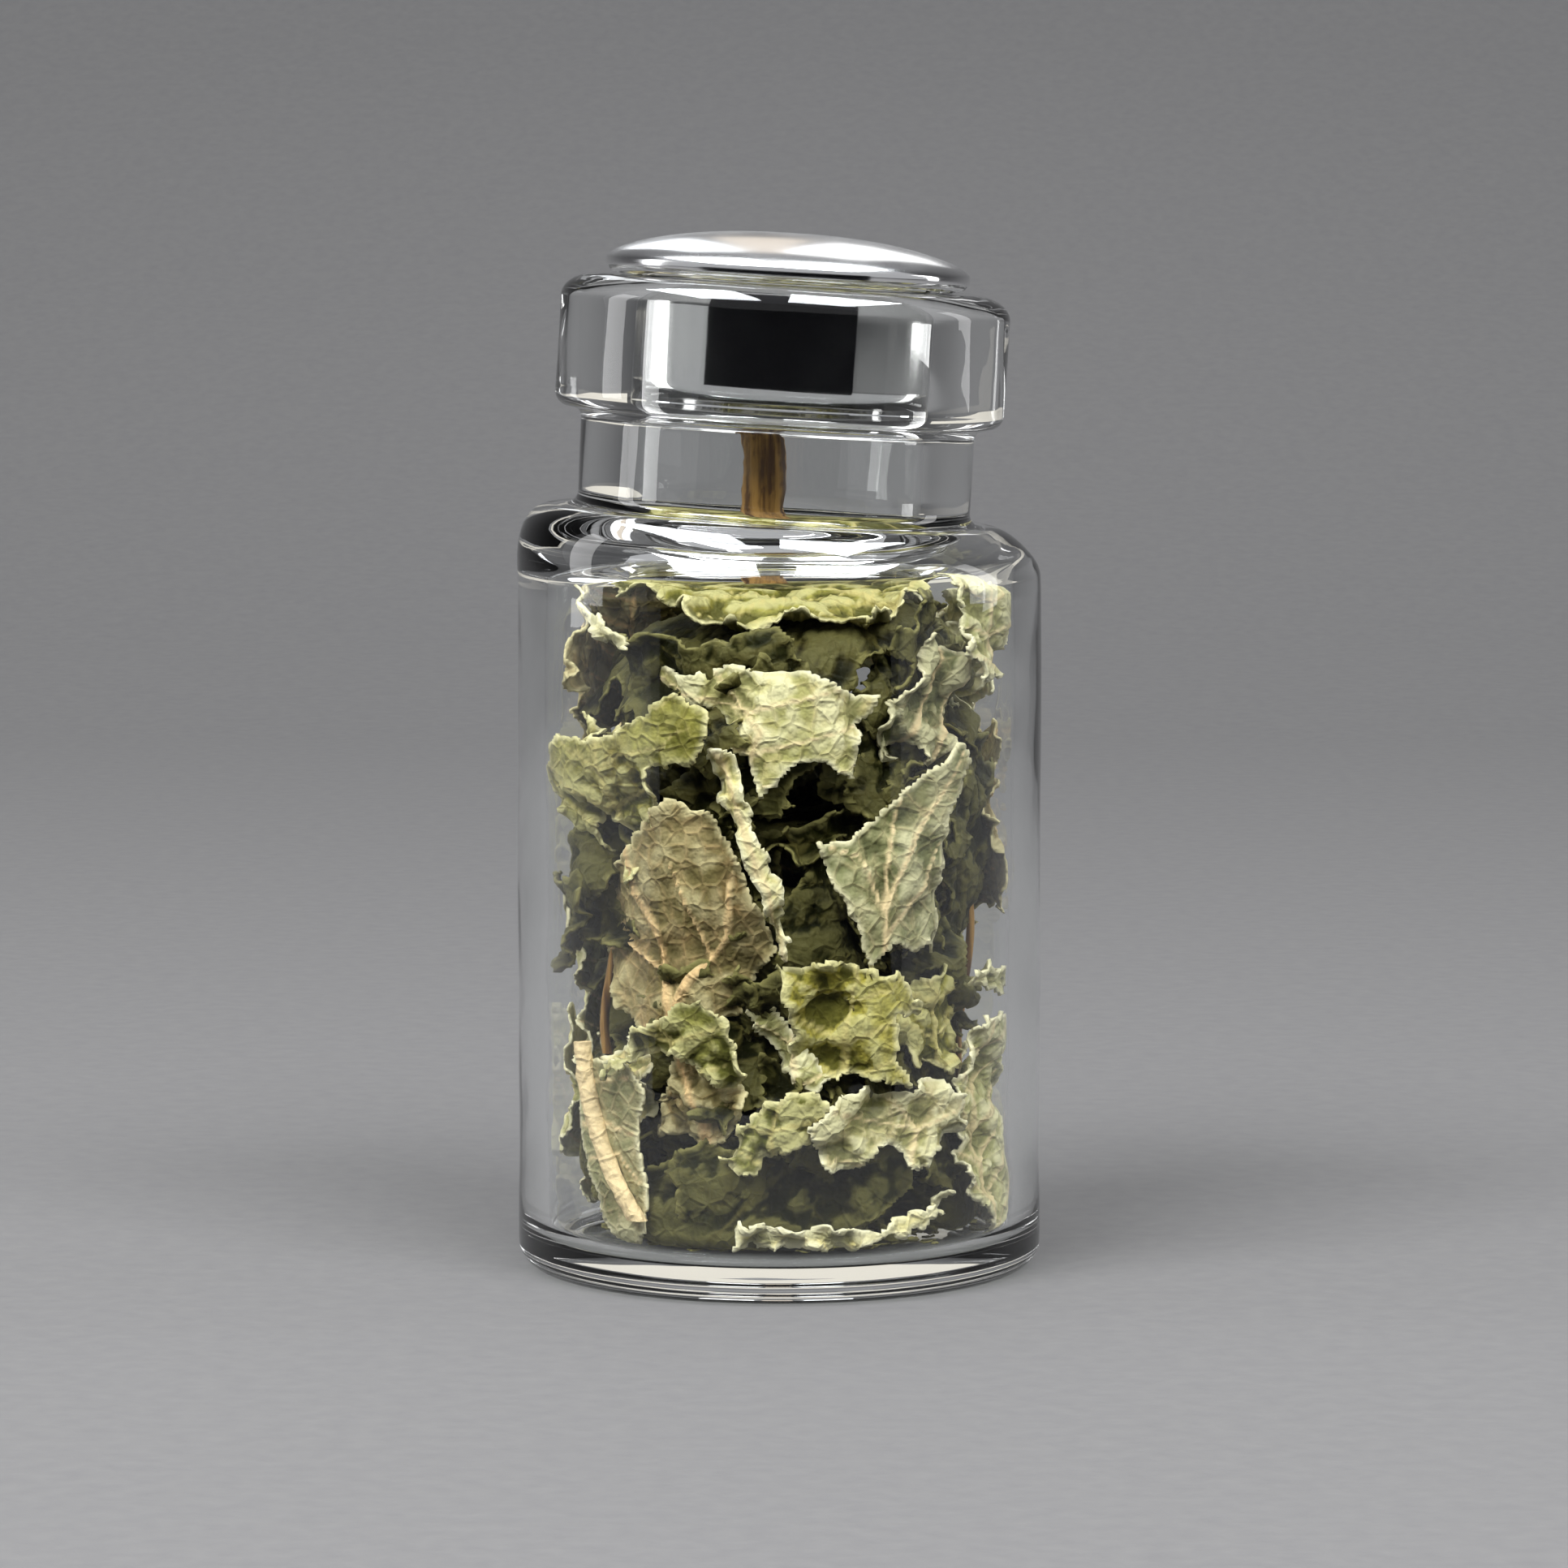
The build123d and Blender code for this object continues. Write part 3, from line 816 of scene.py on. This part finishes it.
# %% Leaf finish
def leaf_finish(name, light, deep, vein, rim, brown, rust_share):
    """One leaf's surface: blotched colour, ribs, fine veinlets and a dry papery bump, with painted shade in
    the hollows, painted highlight on the ridges, a pale edge that is partly a painted highlight, and a tone
    that is partly painted light and shade.
    """
    finish = Finish(name)
    blotch, speck = finish.noise(380, 5), finish.noise(2200, 4)
    cells = finish.node("ShaderNodeTexVoronoi", {"feature": "DISTANCE_TO_EDGE"},
                        {"Vector": finish.place(), "Scale": 1300})
    veinlet = finish.remap(cells, 0.0, 0.14, 1.0, 0.0)
    colour = finish.blend(finish.remap(blotch, 0.38, 0.57), light, deep)
    colour = finish.blend(finish.remap(finish.noise(260, 5), 0.48, 0.62, 0.0, rust_share), colour, brown)
    tone_and_light, shade_and_highlight = finish.mark("tone_and_light_mark"), finish.mark("shade_and_highlight_mark")
    # The tone mark pushes the scrap paler and yellower as painted light, or darker and greener as painted shade;
    # part of it is the scrap's own tone.
    paler_and_lit = tuple(part * share for part, share in zip(light, (1.35, 1.22, 0.75)))
    darker_and_shaded = tuple(part * share for part, share in zip(light, (0.36, 0.44, 0.34)))
    colour = finish.blend(finish.remap(tone_and_light, 0.0, 1.0, 0.0, 0.75), colour, paler_and_lit)
    colour = finish.blend(finish.remap(tone_and_light, 0.0, -1.0, 0.0, 0.75), colour, darker_and_shaded)
    colour = finish.blend(veinlet * 0.22, colour, vein)
    colour = finish.blend(finish.remap(speck, 0.42, 0.62, 0.0, 0.6), colour, deep)
    # Painted shade darkens the hollows of the crumples, and painted highlight lightens their ridges.
    painted_shade, painted_highlight = tuple(part * 0.55 for part in deep), tuple((a + b) / 2 for a, b in zip(light, rim))
    colour = finish.blend(finish.remap(shade_and_highlight, 0.53, 0.85, 0.0, 0.85), colour, painted_shade)
    colour = finish.blend(finish.remap(shade_and_highlight, 0.48, 0.18, 0.0, 0.7), colour, painted_highlight)
    colour = finish.blend(finish.mark("vein_mark") * 0.9, colour, vein)
    # The pale rim, partly the paler underside and partly painted highlight, is broken into patches by noise.
    rim_patches = finish.remap(finish.noise(500, 3), 0.3, 0.5, 0.35, 1.0)
    colour = finish.blend(finish.mark("rim_mark") * rim_patches, colour, rim)
    finish.set(Base_Color=colour, Roughness=0.6 + blotch * 0.2, Specular_IOR_Level=0.12)
    crinkle = finish.noise(1000, 3) * 2.2 + speck * 0.7 + veinlet * 0.3
    finish.set(Normal=finish.bump(crinkle, 0.8, 0.00022))
    return finish


# %% The five kinds: light, deep, vein, pale rim (partly painted highlight), brown, and how much of it has browned
leaf_colours = {
    "pale_leaf": ((0.74, 0.70, 0.36), (0.36, 0.35, 0.13), (0.80, 0.64, 0.36), (0.95, 0.90, 0.62),
                  (0.48, 0.36, 0.21), 0.5),
    "olive_leaf": ((0.36, 0.345, 0.09), (0.105, 0.105, 0.020), (0.58, 0.50, 0.20), (0.86, 0.80, 0.44),
                   (0.20, 0.14, 0.045), 0.5),
    "grey_leaf": ((0.42, 0.41, 0.21), (0.16, 0.17, 0.070), (0.84, 0.65, 0.37), (0.88, 0.82, 0.54),
                  (0.29, 0.22, 0.12), 0.45),
    "brown_leaf": ((0.40, 0.33, 0.16), (0.19, 0.155, 0.060), (0.88, 0.60, 0.30), (0.78, 0.70, 0.40),
                   (0.27, 0.165, 0.07), 0.5),
    # The dark kind is nearly black: partly the leaf's own dark olive, partly painted shade for the deep gaps in
    # the fill.
    "dark_leaf": ((0.030, 0.029, 0.006), (0.010, 0.011, 0.002), (0.08, 0.07, 0.02), (0.24, 0.22, 0.08),
                  (0.025, 0.016, 0.007), 0.5),
}
leaf_finishes = {name: leaf_finish(name, *colours) for name, colours in leaf_colours.items()}
print(len(leaf_finishes), "kinds of leaf")

# %% [markdown]
# ## Flakes against the glass
#
# Where each flake stands comes from its solid's box. What makes each one itself is written down here: its
# outline in halves of its own width and height, its ribs, and how it leans, bows and curls.

# %% The flakes' characters
# A flake's tone value is partly its own tone and partly painted light and shade; its rim value is the width of its
# pale rim.
flakes = {
    "flake_top_left_spike": {
        "tone_and_light": 0.2, "size": (6.2, 1.2), "turn": -20, "creases": 1, "rim": 0.4, "wave": 0.1,
        "outline": [(-1, 0.2), (-0.7, 0.5), (-0.2, 0.3), (0.3, 0.6), (0.8, 0.5), (1, -0.3), (0.5, -0.9),
            (0.1, -0.4), (-0.4, -0.1)]},
    "flake_top_right_upright": {
        "depth": 1.3, "tear": 0.22,
        "outline": [(-0.5, -1), (-0.9, -0.3), (-0.5, 0.2), (-0.8, 0.7), (-0.2, 1), (0.3, 0.7),
            (0.9, 0.5), (0.7, -0.2), (1, -0.6), (0.3, -0.9)]},
    "flake_star": {
        "tone_and_light": 0.1, "size": (12.6, 5.6), "shift": -8, "tear": 0.13, "wave": 0.2, "crumple": 1.2,
            "fine": 0.3, "depth": 1.5,
        "outline": [(-1, 0.6), (-0.83, 0.96), (-0.44, 0.75), (-0.05, 0.92), (0.5, 0.88), (0.78, 0.6),
            (1, 0.47), (0.84, 0.09), (0.78, -0.68), (0.58, -0.4), (0.4, -0.42), (0.22, -1),
            (0.14, -0.5), (-0.04, -0.1), (-0.12, 0.25), (-0.44, 0.38), (-0.72, 0.5)]},
    "flake_right_striated": {
        "size": (5.2, 5.6), "depth": 1.5,
        "ribs": [(0.14, [(-0.6, -1), (-0.1, 0), (0.3, 1)]), (0.12, [(0, -1), (0.4, 0), (0.8, 0.8)])],
        "outline": [(-0.8, -0.8), (-0.9, 0), (-0.4, 0.4), (-0.1, 1), (0.5, 0.8), (0.7, 0.3), (1, 0),
            (0.6, -0.5), (0.1, -1), (-0.3, -0.6)]},
    "flake_left_arch": {
        "tone_and_light": 0.25, "size": (9.4, 8.4), "curl": 0.3, "tear": 0.2, "depth": 1.2,
        "outline": [(-1, 0), (-0.8, 0.4), (-0.3, 0.45), (0.2, 0.65), (0.5, 1), (0.85, 0.85), (0.8, 0.4),
            (0.4, 0.25), (0.22, -0.2), (0.05, -0.9), (-0.2, -1), (-0.2, -0.35), (-0.42, -0.2),
            (-0.65, -0.85), (-0.95, -0.6)]},
    "flake_centre_strip": {
        "tone_and_light": 0.5, "size": (1.7, 9.8), "turn": 13, "creases": 1, "rim": 0.22, "crumple": 1.0,
        "ribs": [(0.2, [(-0.5, 1), (0.2, 0), (0.6, -1)])],
        "outline": [(-0.9, 1), (0.3, 0.9), (0.5, 0.3), (1, -0.2), (0.9, -0.8), (0.6, -1), (0.1, -0.5),
            (-0.2, 0.1), (-0.9, 0.5)]},
    "flake_veined_left": {
        "tone_and_light": 0.0, "size": (9.6, 10.4), "depth": 0.5, "wave": 0.2, "bow": -0.12, "crumple": 0.8,
            "fine": 0.14, "rib_height": 0.2,
        "ribs": [(0.24, [(0.06, -1), (0.08, -0.73), (0, -0.45), (-0.1, -0.1), (-0.27, 0.19),
            (-0.4, 0.6)]), (0.2, [(0.08, -0.76), (0.25, -0.45), (0.45, -0.3), (0.6, -0.1),
            (0.65, 0.4)]), (0.12, [(-0.05, -0.4), (-0.5, -0.2), (-0.8, -0.3)]), (0.1, [(0.45, -0.3),
            (0.1, 0.5)])],
        "outline": [(0, -1), (-0.6, -0.75), (-0.95, -0.2), (-0.8, 0.3), (-0.35, 0.6), (0.1, 1),
            (0.55, 0.8), (0.8, 0.3), (1, -0.2), (0.7, -0.7), (0.35, -0.9)]},
    "flake_dark_left_point": {
        "tone_and_light": 0.2, "size": (4.6, 4.6), "curl": -0.2,
        "outline": [(-1, 0.8), (0, 0.7), (0.9, 1), (0.85, 0.3), (0.3, -0.1), (-0.1, -1), (-0.5, -0.4),
            (-0.8, 0.1)]},
    "flake_veined_right": {
        "tone_and_light": -0.1, "size": (6.6, 9.2), "depth": 0.7, "tear": 0.1, "wave": 0.2, "crumple": 0.8,
            "fine": 0.14, "rib_height": 0.1,
        "ribs": [(0.13, [(-0.24, -0.9), (-0.12, -0.1), (0.1, 0.5)]), (0.1, [(-0.2, -0.5), (0.3, 0.2),
            (0.9, 0.9)]), (0.09, [(-0.2, -0.7), (0.35, -0.3), (0.6, 0.1)]), (0.09, [(-0.2, -0.5),
            (-0.45, 0), (-0.9, 0.1)])],
        "outline": [(-1, 0.15), (-0.6, 0.15), (-0.4, 0.23), (0.14, 0.58), (0.9, 1), (1, 0.8),
            (0.7, 0.27), (0.64, -0.35), (0.7, -0.92), (0.45, -0.8), (0.25, -0.9), (-0.08, -0.77),
            (-0.42, -1), (-0.53, -0.65), (-0.78, -0.35)]},
    "flake_right_dark_column": {"size": (6.4, 10.4), "tear": 0.25, "depth": 1.4},
    "flake_yellow_crumple": {
        "tone_and_light": 1.0, "size": (6.0, 5.2), "depth": 1.8, "curl": 0.35, "crumple": 2.2,
        "outline": [(-0.9, 0.8), (-0.3, 1), (0.4, 0.9), (0.8, 0.7), (1, 0), (0.7, 0.1), (0.65, -0.6),
            (1, -1), (0.2, -0.85), (-0.6, -0.9), (-0.7, -0.1)]},
    "flake_pale_strip": {
        "size": (3.6, 4.0), "creases": 1, "wave": 0.15,
        "outline": [(-1, 0.6), (-0.5, 1), (0, 0.5), (0.5, -0.1), (1, -0.6), (0.6, -1), (0.1, -0.8),
            (-0.3, -0.1)]},
    "flake_olive_arch": {
        "tone_and_light": -0.25, "size": (6.8, 3.8), "curl": 0.3,
        "outline": [(-1, -0.8), (-0.5, -0.1), (0, 0.7), (0.4, 1), (0.7, 0.7), (0.85, 0), (1, -0.6),
            (0.8, -1), (0.4, -0.7), (0.1, -0.2), (-0.3, -0.3), (-0.7, -0.7)]},
    "flake_right_olive": {"size": (5.8, 4.6), "depth": 1.3},
    "flake_right_curl": {
        "size": (3.8, 2.0), "curl": 0.4, "wave_length": 1.5,
        "outline": [(-1, 0.6), (-0.5, 0.9), (0, 0.3), (0.5, 0.5), (1, 0.2), (0.9, -0.6), (0.3, -0.9),
            (-0.3, -0.4), (-0.8, -0.2)]},
    "flake_left_pale": {"size": (3.4, 4.2)},
    "flake_stemmed": {
        "size": (4.4, 8.0), "shift": 7, "tone_and_light": 0.0, "inward": 0.6, "depth": 0.4, "wave": 0.12,
            "tear": 0.08, "crumple": 0.5, "fine": 0.2,
        "ribs": [(0.14, [(-0.85, 0.25), (0, 0.3), (0.8, 0.2)]), (0.1, [(-0.6, -0.1), (0.3, 0),
            (0.8, -0.3)]), (0.1, [(-0.85, 0.7), (0.5, 0.8)])],
        "outline": [(-1, 1), (-0.5, 0.95), (0.4, 1), (0.9, 0.7), (0.75, 0.2), (0.95, -0.3), (0.9, -0.8),
            (0.6, -1), (0.2, -1), (-0.35, -0.6), (-0.85, 0), (-1, 0.4)]},
    "flake_brown": {
        "size": (4.4, 4.0),
        "ribs": [(0.24, [(0.2, -1), (0, 0), (-0.4, 1)])],
        "outline": [(-1, -0.8), (-0.6, 0.3), (-0.3, 1), (0.5, 0.8), (1, 0.2), (0.8, -0.7), (0.2, -1)]},
    "flake_olive_round": {
        "tone_and_light": -0.4, "size": (4.4, 3.4), "curl": -0.2,
        "outline": [(-1, -0.8), (-0.7, 0.1), (-0.1, 0.7), (0.5, 1), (1, 0.7), (0.8, 0), (0.3, -0.5),
            (-0.2, -0.6), (-0.3, -1), (-0.7, -0.95)]},
    "flake_cream": {
        "tone_and_light": -0.05, "size": (7.0, 4.2), "tear": 0.2, "depth": 1.2,
        "outline": [(-1, 0), (-0.8, -0.6), (-0.3, -0.8), (-0.1, -0.3), (0.15, -0.3), (0.3, -1),
            (0.6, -0.4), (0.9, -0.2), (1, 0.6), (0.6, 1), (0.1, 0.7), (-0.4, 0.9), (-0.8, 0.5)]},
    "flake_right_pale": {
        "size": (5.6, 9.6), "tear": 0.24,
        "outline": [(-0.3, 1), (0.7, 0.95), (1, 0.3), (0.9, -0.4), (1, -0.9), (0.3, -1), (-0.3, -0.7),
            (-0.7, -0.3), (-0.3, 0), (-1, 0.2), (-0.6, 0.6)]},
    "flake_bottom_dark": {
        "tone_and_light": -0.6, "inward": 0.3, "size": (13.0, 5.4), "tear": 0.1,
        "ribs": [(0.12, [(-0.4, -1), (0, 0), (0.5, 1)])]},
    "flake_bottom_ribbon": {
        "tone_and_light": 0.6, "size": (9.6, 2.4), "creases": 2, "rim": 0.45, "curl": 0.35, "wave_length": 1.9,
        "outline": [(-1, -0.9), (-1, 0.2), (-0.5, 0.1), (0.1, 0), (0.6, 0.5), (1, 1), (0.95, 0.4),
            (0.7, -0.1), (0.3, -0.3), (0, -0.8), (-0.4, -0.6)]},
}
print(len(flakes), "flakes have a character of their own")

# %% [markdown]
# ## Small scraps in the gaps
#
# Real flakes lie many deep, so no light comes through between them. The flakes behind the front ones and
# round the back are therefore given a few small scraps each, which stand every way in the space round
# them and are joined to them. They are seeded, so they fall the same way each time.

# %% Scraps that fill the gaps
outer_radius = 9.3
front_reach = math.radians(80)
packing = 0.6


def join_to(main, extras):
    """Join smaller scraps into the flake that they lie on."""
    pick(*extras, main)
    bpy.ops.object.join()


def gap_scraps(node, count, azimuth, middle, radius, draw):
    """Small scraps standing every way in the space round one flake."""
    scraps = []
    for number in range(count):
        size = draw.uniform(2.8, 5.2)
        look = {"depth": 1.4, "lean": draw.uniform(-0.5, 0.5), "swing": draw.uniform(-0.4, 0.4)}
        height = size * draw.uniform(0.6, 1)
        scrap = leaf_scrap(f"{node}_gap_{number}", size, height, draw.randint(0, 9999), look)
        deeper = draw.uniform(0.1, 0.9)
        stand_on_wall(scrap, azimuth + draw.uniform(-4, 4) / radius, middle + draw.uniform(-3.4, 3.4),
                      radius - deeper, draw.uniform(-1.4, 1.4))
        crumple(scrap, 1.7, 0.45, depth_in=(outer_radius - radius + deeper) * packing)
        scraps.append(scrap)
    return scraps


# %% [markdown]
# ## The thick stem of one leaf
#
# The leaf at the lower left keeps its pale stem, which follows the glass. A plain tube along a curve
# would do, but stems and stalks alike are ribbed and need many rings to bend, so both start as one rod: a
# cylinder whose upright edges are cut into rings. Its points are then moved on to the stem's stations.

# %% A thin rod
def rod(name, across, deep, tall):
    """An upright rod with many rings, so that it can be bent."""
    deselect()
    bpy.ops.mesh.primitive_cylinder_add(vertices=28, radius=1, depth=1, end_fill_type="TRIFAN")
    made = bpy.context.object
    made.name = made.data.name = name
    bpy.ops.object.mode_set(mode="EDIT")
    bpy.ops.mesh.select_all(action="SELECT")
    bpy.ops.transform.resize(value=(across, deep, tall))
    pick_edges(made, lambda one, other: abs(one.z - other.z) > tall / 2)
    bpy.ops.mesh.subdivide_edgering(number_cuts=40, smoothness=0)
    bpy.ops.object.mode_set(mode="OBJECT")
    return made


# %% The stem
bark_ribs = clouds("bark_ribs", 0.5)


def leaf_stem(name, stations, thick, radius):
    """A rod that follows the glass through (azimuth in degrees, height) stations, marked as a rib."""
    stem = rod(name, thick * MM, thick * 0.8 * MM, 1 * MM)
    azimuths, heights = np.array(stations).T
    steps = np.linspace(-0.5, 0.5, len(stations))
    for vertex in stem.data.vertices:
        along = vertex.co.z / MM
        angle = math.radians(float(np.interp(along, steps, azimuths)))
        out = radius * MM - vertex.co.y
        side = vertex.co.x * (1.15 - 0.55 * (0.5 + along))
        vertex.co = (out * math.sin(angle) + side * math.cos(angle),
                     side * math.sin(angle) - out * math.cos(angle),
                     float(np.interp(along, steps, heights)) * MM)
    displace(stem, bark_ribs, 0.12 * MM, 0.6)
    mark_points(stem, "vein_mark", np.ones(len(stem.data.vertices)))
    return stem


# %% All the flakes
stem_stations = [(-36.7, 3.1), (-44.5, 4.8), (-50.9, 6.8), (-55.0, 8.6), (-56.5, 10.2)]
stem_thick, stem_radius, gap_radius = 0.40, 9.3, 8.3
flake_seed, skin = 500, 0.15
wall_nodes = sorted(node for node in slot_of if node.startswith("flake_"))
for seed, node in enumerate(wall_nodes):
    behind = "behind" in node
    # Flakes behind get a darker, greener tone: painted shade for the back of the fill.
    look = {"tone_and_light": -0.7} if behind else flakes.get(node, {})
    low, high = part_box(node)
    middle = (low + high) / 2
    azimuth = math.atan2(middle.x, -middle.y) + math.radians(look.get("shift", 0))
    solid = frame["nodes"][node].data.vertices
    radius = max(math.hypot(vertex.co.x, vertex.co.y) for vertex in solid) / MM - skin
    across = math.hypot(high.x - low.x, high.y - low.y) / MM
    chord = 2 * radius * math.asin(min(1, across / 2 / radius))
    draw = random.Random(flake_seed + seed)
    drawn = (chord * draw.uniform(1.1, 1.3), (high.z - low.z) / MM * draw.uniform(1.1, 1.3))
    width, height = look.get("size", drawn)
    turn = math.radians(look.get("turn", draw.uniform(-25, 25) if node not in flakes else 0))
    flake = leaf_scrap(node + "_scrap", width, height, seed, look)
    stand_on_wall(flake, azimuth, middle.z / MM, radius, turn)
    depth_in = (outer_radius - radius) * packing + look.get("inward", 0)
    crumple(flake, look.get("crumple", 1.7), look.get("fine", 0.45), depth_in)
    if behind:
        join_to(flake, gap_scraps(node, 5, azimuth, middle.z / MM, gap_radius, draw))
    elif abs(azimuth) > front_reach:
        join_to(flake, gap_scraps(node, 2, azimuth, middle.z / MM, radius, draw))
    elif node == "flake_stemmed":
        join_to(flake, [leaf_stem("thick_stem", stem_stations, stem_thick, stem_radius)])
    fit(flake, "vial", leaf_finishes[slot_of[node]], slot_of[node], node)
print(len(wall_nodes), "flakes stand against the glass")

# %% [markdown]
# ## Crumbs on the floor
#
# Rubbed leaf sheds crumbs that sink to the floor of the vial. Each is the same torn scrap, made tiny,
# with one crease. They are laid round the front of the floor and joined to a leaf that lies there.

# %% Crumbs
crumb_count, crumb_seed = 26, 900
crumbs = []
for number in range(crumb_count):
    draw = random.Random(crumb_seed + number)
    size = draw.uniform(0.35, 1.0)
    look = {"tear": 0.05, "wave": 0.05, "creases": 1}
    crumb = leaf_scrap(f"crumb_{number}", size, size * 0.7, number, look, spacing=0.12)
    crumb.data.transform(Matrix.Rotation(draw.uniform(0, 6), 4, "Z"))
    azimuth, out = math.radians(draw.uniform(-95, 95)), draw.uniform(6.5, 8.6) * MM
    place = (out * math.sin(azimuth), -out * math.cos(azimuth), (floor + 0.3) * MM)
    crumb.data.transform(Matrix.Translation(place))
    crumple(crumb, 0.2, 0.2)
    crumbs.append(crumb)
print(len(crumbs), "crumbs")

# %% [markdown]
# ## Leaves lying across the middle
#
# These are larger and darker. Their margins hang down, so that from the side they close the gaps between
# the outer flakes. The topmost one is a yellow-green crumple that leans towards the front.

# %% Leaves across the middle
shelf_nodes = sorted((node for node in slot_of if node.startswith("leaf_")),
                     key=lambda node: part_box(node)[0].z)
lobes = [(math.tau * step / 18, 0.92 + 0.08 * math.cos(2.4 * step)) for step in range(18)]
round_leaf = [(math.cos(angle) * reach, math.sin(angle) * reach) for angle, reach in lobes]
shelves = {
    "leaf_top_crumple": {
        "tone_and_light": 0.3, "lean": 14, "toward": -8, "hang": 0.1, "crumple": 2.4, "size": 15.4, "rise": 1.1},
    "leaf_dark_underleaf": {
        "lean": 4, "toward": 20, "hang": 0.55, "crumple": 0.7, "size": 17.0, "rise": 1.0},
}
sheet_seed = 100
for level, node in enumerate(shelf_nodes):
    low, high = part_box(node)
    shelf = shelves.get(node, {})
    size = shelf.get("size", 16.4)
    # Leaves across the middle default to a slightly darker tone, painted shade for lying inside the fill.
    look = {"outline": round_leaf, "tear": 0.25, "wave": 0.5, "depth": 0.5, "wave_length": 3.1,
            "tone_and_light": shelf.get("tone_and_light", -0.2)}
    leaf = leaf_scrap(node + "_sheet", size, size * 0.97, sheet_seed + level, look, spacing=0.19)
    lay_across(leaf, (low.z + high.z) / 2 / MM + shelf.get("rise", 0), math.radians(shelf.get("lean", 9)),
               math.radians(shelf.get("toward", 24 * level)), 0.9 * level, shelf.get("hang", 0.35))
    crumple(leaf, shelf.get("crumple", 1.6), 0.3, depth_in=0.9)
    if node == "leaf_floor_crumb":
        join_to(leaf, crumbs)
    fit(leaf, "vial", leaf_finishes[slot_of[node]], slot_of[node], node)
print(len(shelf_nodes), "leaves lie across the middle")

# %% [markdown]
# ## Stalks
#
# A dry stalk is a ribbed, slightly bent rod that was snapped at both ends. It could be turned on the
# lathe, but then it would be straight and round. So the rod is bent, its ends are made ragged, and bark
# is pressed into it. The thick one leans in the neck, under the plug.

# %% Stalk finish
dry_stalk = Finish("dry_stalk")
fibre = dry_stalk.noise(3600, 3, dry_stalk.place((1, 1, 0.06)))
patch = dry_stalk.noise(500, 2)
bark = dry_stalk.blend(dry_stalk.remap(fibre, 0.38, 0.62), (0.06, 0.022, 0.004), (0.36, 0.20, 0.055))
dry_stalk.set(Base_Color=bark, Roughness=0.5 + patch * 0.2)
dry_stalk.set(Normal=dry_stalk.bump(fibre, 0.6, 0.00015))

# %% Stalks
for node in sorted(node for node in slot_of if node.startswith("stalk_")):
    low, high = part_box(node)
    tall, centre = high.z - low.z, (low + high) / 2
    across = deep = (high.x - low.x) * 0.36
    slope, bend = Vector((0, 0, 1)), 1.1
    if node == "stalk_in_neck":
        across, deep = 0.92 * MM, 0.56 * MM
        slope, bend = Vector((-0.7, 0.2, 6.0)), 0.25
    stalk = rod(node + "_rod", across, deep, tall)
    for vertex in stalk.data.vertices:
        along = vertex.co.z / tall
        vertex.co.x += bend * across * math.sin(5 * along) + slope.x / slope.z * vertex.co.z + centre.x
        vertex.co.y += slope.y / slope.z * vertex.co.z + centre.y
        if abs(along) > 0.499:
            ragged = 0.25 * across * (1 + math.sin(9 * vertex.co.x / across))
            vertex.co.z -= math.copysign(ragged, along)
        vertex.co.z += centre.z
    displace(stalk, bark_ribs, 0.22 * across, 0.6)
    bpy.ops.object.shade_smooth_by_angle(angle=math.radians(50))
    fit(stalk, "vial", dry_stalk, "dry_stalk", node)
    print(node, "is", round(tall / MM, 1), "mm long")
